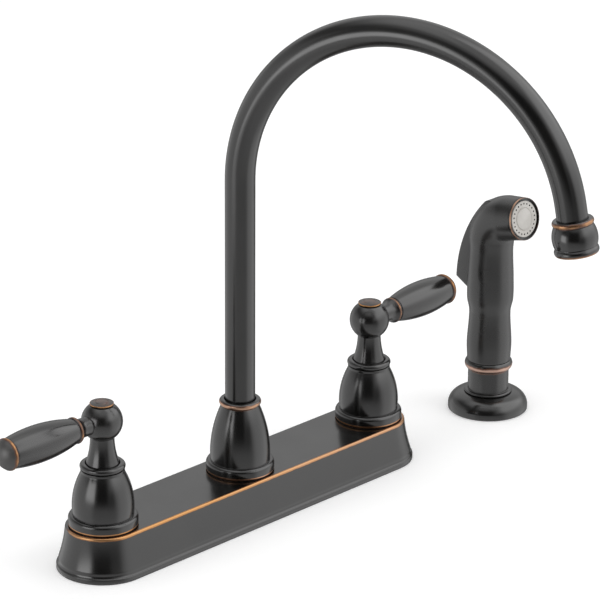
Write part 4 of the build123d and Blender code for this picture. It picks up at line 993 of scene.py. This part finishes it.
escutcheon_outline = [
    (flange_r - DOME_EDGE, 0), (flange_r, 0), (flange_r, FLANGE_RIM),
    *bow((flange_r, FLANGE_RIM), (CROWN_R, shoulder), -DOME, 16)[1:],
    *bow((CROWN_R, shoulder), (STEP_R, FLANGE_RISE), -CROWN_BOW, 6)[1:],
    (COLLAR_R + COLLAR_GAP, FLANGE_RISE), under_crown,
    *bow(under_crown, (flange_r - DOME_EDGE, FLANGE_RIM), DOME, 12)[1:],
]
dress(turned("spray_escutcheon_turned", escutcheon_outline, at(SPRAY_X), corner=0.5),
      bronze, "deck_assembly", "spray_escutcheon")

guide_outline = [
    (GUIDE_R, guide.low.z), (COLLAR_R, guide.low.z), (COLLAR_R, FLANGE_RISE), (STEP_EDGE_R, FLANGE_RISE),
    *bead(STEP_EDGE_R, FLANGE_RISE, FLANGE_RISE + STEP, STEP_R - STEP_EDGE_R, 8)[1:],
    (COLLAR_R, FLANGE_RISE + STEP), (COLLAR_R, COLLAR_BEAD_LOW),
    *bead(COLLAR_BEAD_R - COLLAR_BEAD_ROUND, COLLAR_BEAD_LOW, COLLAR_TOP, COLLAR_BEAD_ROUND, 14),
    (GUIDE_R, COLLAR_TOP),
]
guide_wear_and_shade = [
    (COLLAR_BEAD_R - 0.2, COLLAR_BEAD_LOW + 1.4, 4.0, 0.74),
    # a brown band on the tube just under the bead: painted shade where the bead shades the tube
    (COLLAR_R, COLLAR_BEAD_LOW - 0.6, 1.5, 0.42),
]
dress(turned("spray_guide_turned", guide_outline, at(SPRAY_X), guide_wear_and_shade),
      rose_bronze, "deck_assembly", "spray_guide")

# %% [markdown]
# The wand is moulded plastic in the same colour, a little duller than the metal. Its grip
# swells and narrows for the fingers, bends forwards and ends in the round head. It is
# made of rings along a bent middle line, with a smooth curve through a few radii, and the
# trigger's slot is cut out of the back afterwards.

# %% Wand
WAND_GAP = 0.3
WAND_FOOT = COLLAR_TOP + WAND_GAP
GRIP = (
    # heights above the wand's foot and the radii there
    (0, 12.5), (10.4, 12.9), (29.4, 11.9), (37.4, 13.3), (50.4, 13.2), (66.4, 12.5), (73.3, 12.9),
)
GRIP_TOP, BEND_TUBE_R = GRIP[-1]
BEND_R = 16.0
HEAD_TURN = radians(79.0)
HEAD_LENGTH = 11.9
HEAD_R = 12.3
RIM_SEAT = 1.8
CHAMBER_R = 9.6
GRIP_STEPS = 70
BEND_STEPS = 40
HEAD_STEPS = 8


def grip_radius(height):
    """A smooth curve through the grip's radii; neighbours give the slope at each."""
    for i, (a, b) in enumerate(zip(GRIP, GRIP[1:])):
        if height <= b[0]:
            before = GRIP[max(0, i - 1)]
            after = GRIP[min(len(GRIP) - 1, i + 2)]
            span = b[0] - a[0]
            slope_a = (b[1] - before[1]) / (b[0] - before[0]) * span
            slope_b = (after[1] - a[1]) / (after[0] - a[0]) * span
            t = (height - a[0]) / span
            return ((2 * t**3 - 3 * t**2 + 1) * a[1] + (t**3 - 2 * t**2 + t) * slope_a
                    + (3 * t**2 - 2 * t**3) * b[1] + (t**3 - t**2) * slope_b)
    return BEND_TUBE_R


def wand_line():
    """Stations along the wand: middle, direction off the bend's centre, and radius."""
    for k in range(GRIP_STEPS):
        height = GRIP_TOP * k / GRIP_STEPS
        yield Vector((0, 0, WAND_FOOT + height)), Vector((0, 1, 0)), grip_radius(height)
    for k in range(BEND_STEPS + 1):
        middle, out = on_bend(BEND_R, HEAD_TURN * k / BEND_STEPS, WAND_FOOT + GRIP_TOP)
        yield middle, out, BEND_TUBE_R
    head = after_bend(HEAD_TURN) * (HEAD_LENGTH - RIM_SEAT)
    for k in range(1, HEAD_STEPS + 1):
        share = k / HEAD_STEPS
        yield middle + head * share, out, BEND_TUBE_R + (HEAD_R - BEND_TUBE_R) * share


def moulded_wand(name):
    """The wand's outer skin, closed by a flat face at its foot and at its head."""
    points, rings = rings_along(wand_line(), SEGMENTS)
    faces = []
    for ring, after in zip(rings, rings[1:]):
        faces.extend(skin([ring, after])[:SEGMENTS])
    faces.extend([list(rings[0]), list(rings[-1])])
    return new_mesh(name, [p + Vector((SPRAY_X, 0, 0)) for p in points], faces)


def cut(piece, cutter, outside, inside):
    """Cut one closed mesh out of another, with a material for the walls of the cut."""
    piece.data.materials.append(outside)
    cutter.data.materials.append(inside)
    away = piece.modifiers.new("cut", "BOOLEAN")
    away.object = cutter
    away.operation = "DIFFERENCE"
    away.solver = "EXACT"
    away.material_mode = "TRANSFER"
    apply_all(piece)
    bpy.data.objects.remove(cutter)


def apply_all(piece):
    """Turn a piece's modifiers into plain geometry."""
    ready = piece.evaluated_get(bpy.context.evaluated_depsgraph_get())
    mesh = bpy.data.meshes.new_from_object(ready)
    piece.modifiers.clear()
    piece.data = mesh


BEVELLED_TURN = radians(40)
CREASED_TURN = radians(50)


def soften_edges(piece, width, segments):
    """Round the sharp edges with a bevel, and shade only what stays sharp as creased."""
    edges = piece.modifiers.new("soft edges", "BEVEL")
    edges.width = width * MM
    edges.segments = segments
    edges.angle_limit = BEVELLED_TURN
    apply_all(piece)
    piece.data.set_sharp_from_angle(angle=CREASED_TURN)


print("the wand stands", round(WAND_FOOT, 1), "mm above the deck, and its grip is", GRIP_TOP, "mm long")

# %% [markdown]
# The trigger is a flat lever: a round head on its pin, a long outer curve that follows
# the bend of the wand, and a sharp corner at its end. It is one outline with a thickness,
# and its edges are rounded by a bevel. The slot in the wand is the same kind of shape, a
# little wider.

# %% Trigger and its slot
TRIGGER_WIDTH = 11.0
TRIGGER_GAP = 0.35
TRIGGER_HEAD_R = 7.0
PIVOT_Y = -2.5
PIVOT_Z = WAND_FOOT + 90.8
CORNER_Y = 24.4
CORNER_DROP = 44.6
TRIGGER_DEPTH = 9.5
TOE_DROP = 5.2
OUTER_BOW = 5.0
INNER_BOW = 2.6
ROOT_Y = 6.0
ROOT_DROP = 9.4
CROWN_TURN = radians(55.0)
SLOT_FLOOR = 6.0
SLOT_BEND = 22.0
SLOT_OPEN = 12.5                # how far the cutter stands out behind the lever
SLOT_TOP = 20.0
FOOT_ROOM = 2.2
crown = (TRIGGER_HEAD_R * cos(CROWN_TURN), TRIGGER_HEAD_R * sin(CROWN_TURN))
heel = (CORNER_Y, -CORNER_DROP)
toe = (CORNER_Y - TRIGGER_DEPTH, -CORNER_DROP - TOE_DROP)


def round_head(radius, first, last, steps=28):
    """Part of the round head, between two directions."""
    turns = [first + (last - first) * k / steps for k in range(steps + 1)]
    return [(radius * cos(t), radius * sin(t)) for t in turns]


def slab(name, outline, width):
    """An outline of (y, z) about the pivot with a thickness along X."""
    count = len(outline)
    sides = (-width / 2, width / 2)
    points = [(SPRAY_X + x, PIVOT_Y + y, PIVOT_Z + z) for x in sides for y, z in outline]
    faces = [list(range(count)), list(range(count, 2 * count))]
    faces.extend([k, (k + 1) % count, count + (k + 1) % count, count + k] for k in range(count))
    return new_mesh(name, points, faces)


trigger_outline = [
    *bow(crown, heel, OUTER_BOW, 30),
    *bow(toe, (ROOT_Y, -ROOT_DROP), -INNER_BOW, 12),
    *round_head(TRIGGER_HEAD_R, -pi / 2, CROWN_TURN - tau)[:-1],
]
slot_r = TRIGGER_HEAD_R + TRIGGER_GAP
slot_low = -CORNER_DROP - TOE_DROP - FOOT_ROOM
slot_back = CORNER_Y + SLOT_OPEN
slot_floor = SLOT_FLOOR - PIVOT_Y
slot_outline = [
    *round_head(slot_r, -pi / 2, pi / 2 - tau),
    (0, SLOT_TOP), (slot_back, SLOT_TOP), (slot_back, slot_low), (slot_floor, slot_low),
    (slot_floor, -SLOT_BEND),
]
wand = moulded_wand("wand_moulded")
cut(wand, slab("slot", slot_outline, TRIGGER_WIDTH + 2 * TRIGGER_GAP), wand_plastic, wand_plastic)
wand.data.set_sharp_from_angle(angle=radians(35))
soften_edges(wand, 0.35, 3)
dress(wand, wand_plastic, "spray_head", "wand_body")

trigger = slab("trigger_moulded", trigger_outline, TRIGGER_WIDTH)
soften_edges(trigger, 0.8, 4)
dress(trigger, wand_plastic, "trigger_lever", "spray_trigger")

# %% [markdown]
# The spray face looks out of the head through a dark band, whose outer side is rubbed to
# copper. The face is a pale moulded disc with a raised button in a fine groove, and a
# ring of nozzle holes near its edge. The holes are cut with one cutter of many pins. Its
# dark material stays on the walls of the holes as painted shade, so that they read as deep.

# %% Spray face and its band
BAND_R = 12.2
BAND_INNER_R = 10.4
BAND_LIP = 0.6                  # a thin lip, with a dark channel between it and the face
BAND_FLOOR = 0.3
FACE_RECESS = 0.6
SKIRT_R = CHAMBER_R - FIT
SKIRT_WALL = 1.0
SKIRT_DEPTH = 1.6
BUTTON_R = 6.3
BUTTON_GROOVE = 0.45
BUTTON_SIDE = 0.1
BUTTON_RISE = 0.5
BUTTON_BOW = 0.05
NOZZLES = 22
NOZZLE_RING_R = 8.7
NOZZLE_R = 0.5
NOZZLE_DEPTH = 1.0
NOZZLE_SIDES = 14
bend_end, _ = on_bend(BEND_R, HEAD_TURN, WAND_FOOT + GRIP_TOP)
face_middle = bend_end + after_bend(HEAD_TURN) * HEAD_LENGTH
face_place = at(SPRAY_X) @ Matrix.Translation(face_middle) @ Matrix.Rotation(HEAD_TURN, 4, "X")
band_floor = -RIM_SEAT + BAND_FLOOR
band_outline = [
    (BAND_INNER_R, -RIM_SEAT), (BAND_R, -RIM_SEAT), (BAND_R, 0), (BAND_R - BAND_LIP, 0),
    (BAND_R - BAND_LIP, band_floor), (BAND_INNER_R, band_floor),
]
band_rubs = [(BAND_R, -0.5, 0.95, 1.0)]
dress(turned("spray_rim_turned", band_outline, face_place, band_rubs, corner=0.15),
      rose_bronze, "spray_head", "spray_rim")

face_front = -FACE_RECESS
face_r = BAND_INNER_R - FIT
skirt_end = -RIM_SEAT - SKIRT_DEPTH
button_edge = (BUTTON_R - BUTTON_GROOVE / 2, face_front + BUTTON_SIDE)
face_outline = [
    (0, -RIM_SEAT), (SKIRT_R - SKIRT_WALL, -RIM_SEAT), (SKIRT_R - SKIRT_WALL, skirt_end),
    (SKIRT_R, skirt_end), (SKIRT_R, -RIM_SEAT), (face_r, -RIM_SEAT),
    (face_r, face_front), (BUTTON_R + BUTTON_GROOVE, face_front),
    (BUTTON_R, face_front - BUTTON_GROOVE),
    *bow(button_edge, (0, face_front + BUTTON_RISE), -BUTTON_BOW, 12),
]


def nozzle_pins():
    """One cutter: a ring of short pins that stand in the face."""
    points = []
    faces = []
    for i in range(NOZZLES):
        centre = Vector((cos(tau * i / NOZZLES), sin(tau * i / NOZZLES), 0)) * NOZZLE_RING_R
        first = len(points)
        for z in (face_front - NOZZLE_DEPTH, face_front + NOZZLE_DEPTH):
            for k in range(NOZZLE_SIDES):
                turn = tau * k / NOZZLE_SIDES
                pin = Vector((NOZZLE_R * cos(turn), NOZZLE_R * sin(turn), z))
                points.append(face_place @ (centre + pin))
        low = [first + k for k in range(NOZZLE_SIDES)]
        high = [first + NOZZLE_SIDES + k for k in range(NOZZLE_SIDES)]
        faces.extend(skin([low, high])[:NOZZLE_SIDES])
        faces.extend([low, high])
    return new_mesh("nozzle_pins", points, faces)


face = turned("spray_face_moulded", face_outline, face_place, corner=0.12)
# the walls of the nozzle holes take the dark rubber as painted shade, so the holes look deep
cut(face, nozzle_pins(), pale, rubber)
face.data.set_sharp_from_angle(angle=radians(40))
dress(face, pale, "spray_head", "spray_face")
print("materials of the face:", [m.name for m in face.data.materials])

# %% [markdown]
# The pieces inside keep their solids. They are hidden now, but they show when a cover is
# taken off, so each has the material that it has on a real faucet. What reaches below the
# deck stays out of reflections. The floor is left out of them too, and without this the
# brass below it would be mirrored in the sprayer's collar as a brown streak.

# %% Materials of the inner pieces
INNER = (
    (brass, ("valve_body", "spout_body", "bonnet_nut", "stem", "spout_nut", "mounting_nuts",
             "spray_guide_nut", "hose_coupling", "diverter_piston")),
    (tube_copper, ("crossover_tube",)),
    (steel, ("handle_screw", "mounting_washers", "spray_guide_washer", "trigger_pin",
             "valve_plunger")),
    (rubber, ("seat_seal", "orings", "aerator_washer", "deck_gasket")),
    (ceramic, ("fixed_disc", "turning_disc")),
    (nylon, ("cartridge_body", "glide_ring", "aerator_insert")),
)
BELOW_DECK = -MM
shown = [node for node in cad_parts.values() if not node.hide_render]
unfinished = []
for node in shown:
    finishes = [material for material, words in INNER if node.name.endswith(words)]
    if not finishes:
        unfinished.append(node.name)
        continue
    node.data.materials.clear()
    node.data.materials.append(finishes[-1])
    node.visible_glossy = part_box(node.name)[0].z >= BELOW_DECK
print("inner pieces:", len(shown), "without a finish:", unfinished)

# %% [markdown]
# The studio is plain: a white floor at the level of the sink's deck and a white room.
# The floor only takes shadows. It is left out of reflections, because the glossy pieces
# should mirror an even white room below them, as they would on a clear table.

# %% Floor and room
FLOOR_DROP = 0.0002
FLOOR_SIZE = 12.0
half = FLOOR_SIZE / 2
corners = [(-half, -half), (half, -half), (half, half), (-half, half)]
floor_mesh = bpy.data.meshes.new("floor")
floor_mesh.from_pydata([(x, y, -FLOOR_DROP) for x, y in corners], [], [(0, 1, 2, 3)])
floor = add_object("floor", floor_mesh)
floor.visible_glossy = False


def seen_rays(tree):
    """1 for what the camera, a reflection or clear glass looks at, and 0 for light."""
    path = tree.nodes.new("ShaderNodeLightPath")
    seen = math(tree, "ADD", path.outputs["Is Camera Ray"], path.outputs["Is Glossy Ray"])
    seen = math(tree, "ADD", seen, path.outputs["Is Transmission Ray"])
    return math(tree, "MINIMUM", seen, 1)


NEAR_LIFT = 0.18                # brings the floor up to white where nothing shades it
FAR_LIFT = 0.36                 # the lamps don't reach far, so the floor there needs more
LAMPS_REACH = (0.8, 3.5)        # metres over which the lift grows
WHITE = (1, 1, 1)
FLOOR_WHITE = (0.95, 0.95, 0.95)
floor_paint, tree, shader = new_material("floor")
floor_mesh.materials.append(floor_paint)
way_off = tree.nodes.new("ShaderNodeVectorMath")
way_off.operation = "LENGTH"
feed(tree, way_off.inputs[0], tree.nodes.new("ShaderNodeTexCoord").outputs["Object"])
lift = spread(tree, way_off.outputs["Value"], *LAMPS_REACH, NEAR_LIFT, FAR_LIFT)
feed_all(tree, shader, Base_Color=FLOOR_WHITE, Roughness=0.9, Emission_Color=WHITE,
         Emission_Strength=math(tree, "MULTIPLY", seen_rays(tree), lift))

ROOM_LIGHT = 0.7                # what the white room gives as light
room = bpy.data.worlds.new("room")
bpy.context.scene.world = room
room.use_nodes = True
tree = room.node_tree
seen = math(tree, "MULTIPLY", seen_rays(tree), 1 - ROOM_LIGHT)
feed_all(tree, tree.nodes["Background"], Color=WHITE, Strength=math(tree, "ADD", seen, ROOM_LIGHT))
print("floor", FLOOR_SIZE, "m wide, and a room that gives", ROOM_LIGHT)

# %% [markdown]
# A glossy black surface shows mostly what stands round it, so its shape is drawn by the
# studio. The reflections in the photograph tell how that studio looked: a dark screen
# behind the camera, which gives each turned piece its black middle, a narrow light low on
# the left, a large soft box on the right and above, and a white table. They are painted
# one over the other, with soft edges, on the inside of a large ball that only reflections
# see. Their angles count from the camera's side, with + to the right and upwards.

# %% Studio for the reflections
CENTRE = Vector((0.05, 0, 0.1))
BALL_DISTANCE = 3.0
BALL_COLUMNS = 180
BALL_ROWS = 90
OPEN_STUDIO = 0.6
ALL = 400                       # wider than all the way round
STUDIO = (
    # what it is, from azimuth, to azimuth, from elevation, to elevation, edge, brightness
    ("white table", -ALL, ALL, -ALL, -29, 22, 0.75),
    ("dim table behind", 140, 250, -ALL, 14, 24, 0.35),
    ("left wall", -145, -38, -45, 12, 14, 0.92),
    ("wall behind", 130, 215, 14, 60, 20, 0.86),
    ("ceiling", -ALL, ALL, 58, ALL, 18, 1.3),
    ("shade on the left", -130, -62, 27, 47, 14, 0.2),
    ("shade beside the screen", -74, -30, 12, 40, 14, 0.2),
    ("right wall", 54, 122, -45, 18, 26, 1.18),
    ("soft box", 42, 135, 14, ALL, 28, 2.1),
    ("soft box above", -18, 60, 50, ALL, 16, 1.0),
    ("dark screen", -34, 22, -9, 37, 16, 0.04),
    ("wing of the screen", 20, 44, -12, 12, 14, 0.2),
)


def round_the_faucet(azimuth, elevation, distance):
    """A point seen from the faucet at degrees from the camera's side."""
    return towards(CAMERA_AZIMUTH + radians(azimuth), radians(elevation)) * distance + CENTRE


def soft_step(distance, edge):
    """0 outside and 1 inside a border, with a soft edge as wide as it says."""
    return eased(distance / edge + 0.5)


def studio_brightness(azimuth, elevation):
    """Paint the studio's parts over each other and read the brightness of one direction."""
    brightness = OPEN_STUDIO
    for _, left, right, low, high, edge, own in STUDIO:
        off = abs((azimuth - (left + right) / 2 + 180) % 360 - 180)
        cover = soft_step((right - left) / 2 - off, edge)
        cover *= soft_step(elevation - low, edge) * soft_step(high - elevation, edge)
        brightness += (own - brightness) * cover
    return brightness


def seen_in_reflections(name, points, glow, columns, spans, strength, socket):
    """A lit sheet of points in rows, which only reflections see; its glow feeds a socket."""
    rows = [range(i, i + columns) for i in range(0, len(points), columns)]
    faces = [face for low, high in zip(rows, rows[1:]) for face in skin([low, high])[:spans]]
    mesh = bpy.data.meshes.new(name)
    mesh.from_pydata(points, [], faces)
    mesh.attributes.new("glow", "FLOAT", "POINT").data.foreach_set("value", glow)
    paint, tree, shader = new_material(name)
    feed_all(tree, shader, Base_Color=(0, 0, 0), Specular_IOR_Level=0, Emission_Color=WHITE,
             Emission_Strength=strength)
    shine = tree.nodes.new("ShaderNodeAttribute")
    shine.attribute_name = "glow"
    feed(tree, shader.inputs[socket], shine.outputs["Fac"])
    mesh.materials.append(paint)
    sheet = add_object(name, mesh)
    sheet.visible_camera = False
    sheet.visible_diffuse = False
    sheet.visible_shadow = False
    sheet.visible_transmission = False
    print(name, "glows from", round(min(glow), 2), "to", round(max(glow), 2))


angles = [(360 * j / BALL_COLUMNS - 180, 180 * i / BALL_ROWS - 90)
          for i in range(BALL_ROWS + 1) for j in range(BALL_COLUMNS)]
seen_in_reflections("studio", [round_the_faucet(*a, BALL_DISTANCE) for a in angles],
                    [studio_brightness(*a) for a in angles], BALL_COLUMNS, BALL_COLUMNS, 1.0,
                    "Emission Strength")

# %% [markdown]
# One light stands close by, on the left: its reflection sits high on the bells and low on
# the arch, which a far light can't do. It is a small upright panel with soft edges. It
# fades out by its alpha, so that the studio behind it shows past its borders.

# %% Near panel on the left
PANEL_DISTANCE = 0.62
PANEL_LEFT = -66
PANEL_RIGHT = -28
PANEL_LOW = -0.03
PANEL_HIGH = 0.35
PANEL_GLOW = 2.9
PANEL_EDGE = 0.45               # soft border as a share of the panel's half
PANEL_STEPS = 24
points = []
cover = []
for i in range(PANEL_STEPS + 1):
    up = 2 * i / PANEL_STEPS - 1
    for j in range(PANEL_STEPS + 1):
        aside = 2 * j / PANEL_STEPS - 1
        azimuth = (PANEL_LEFT + PANEL_RIGHT + aside * (PANEL_RIGHT - PANEL_LEFT)) / 2
        turn = CAMERA_AZIMUTH + radians(azimuth)
        height = (PANEL_LOW + PANEL_HIGH + up * (PANEL_HIGH - PANEL_LOW)) / 2
        points.append((sin(turn) * PANEL_DISTANCE, -cos(turn) * PANEL_DISTANCE, height))
        inside = [1 - PANEL_EDGE / 2 - abs(share) for share in (up, aside)]
        cover.append(soft_step(inside[0], PANEL_EDGE) * soft_step(inside[1], PANEL_EDGE))
seen_in_reflections("near_panel", points, cover, PANEL_STEPS + 1, PANEL_STEPS, PANEL_GLOW, "Alpha")

# %% [markdown]
# The lamps only give the plain light and the soft shadows. They stay out of the
# reflections, where the studio already stands.


# %% Lamps
def facing(location, target):
    """A placement at a location that looks at a target, in metres."""
    back = (location - target).normalized()
    return Matrix.Translation(location) @ back.to_track_quat("Z", "Y").to_matrix().to_4x4()


LAMPS = (
    # name, azimuth, elevation, distance in metres, size in metres, power in watts
    ("left_lamp", -60, 40, 2.2, 1.6, 5),
    ("right_lamp", 75, 40, 2.2, 1.6, 8),
    ("top_lamp", -20, 80, 2.2, 1.8, 8),
)
for name, azimuth, elevation, distance, size, power in LAMPS:
    lamp = bpy.data.lights.new(name, "AREA")
    lamp.shape = "DISK"
    lamp.size = size
    lamp.energy = power
    holder = add_object(name, lamp)
    holder.matrix_world = facing(round_the_faucet(azimuth, elevation, distance), CENTRE)
    holder.visible_glossy = False
    print(name, power, "W")

# %% [markdown]
# Last, the picture is kept plain.

# %% Finish
bpy.context.scene.view_settings.view_transform = "Standard"
bpy.context.view_layer.update()
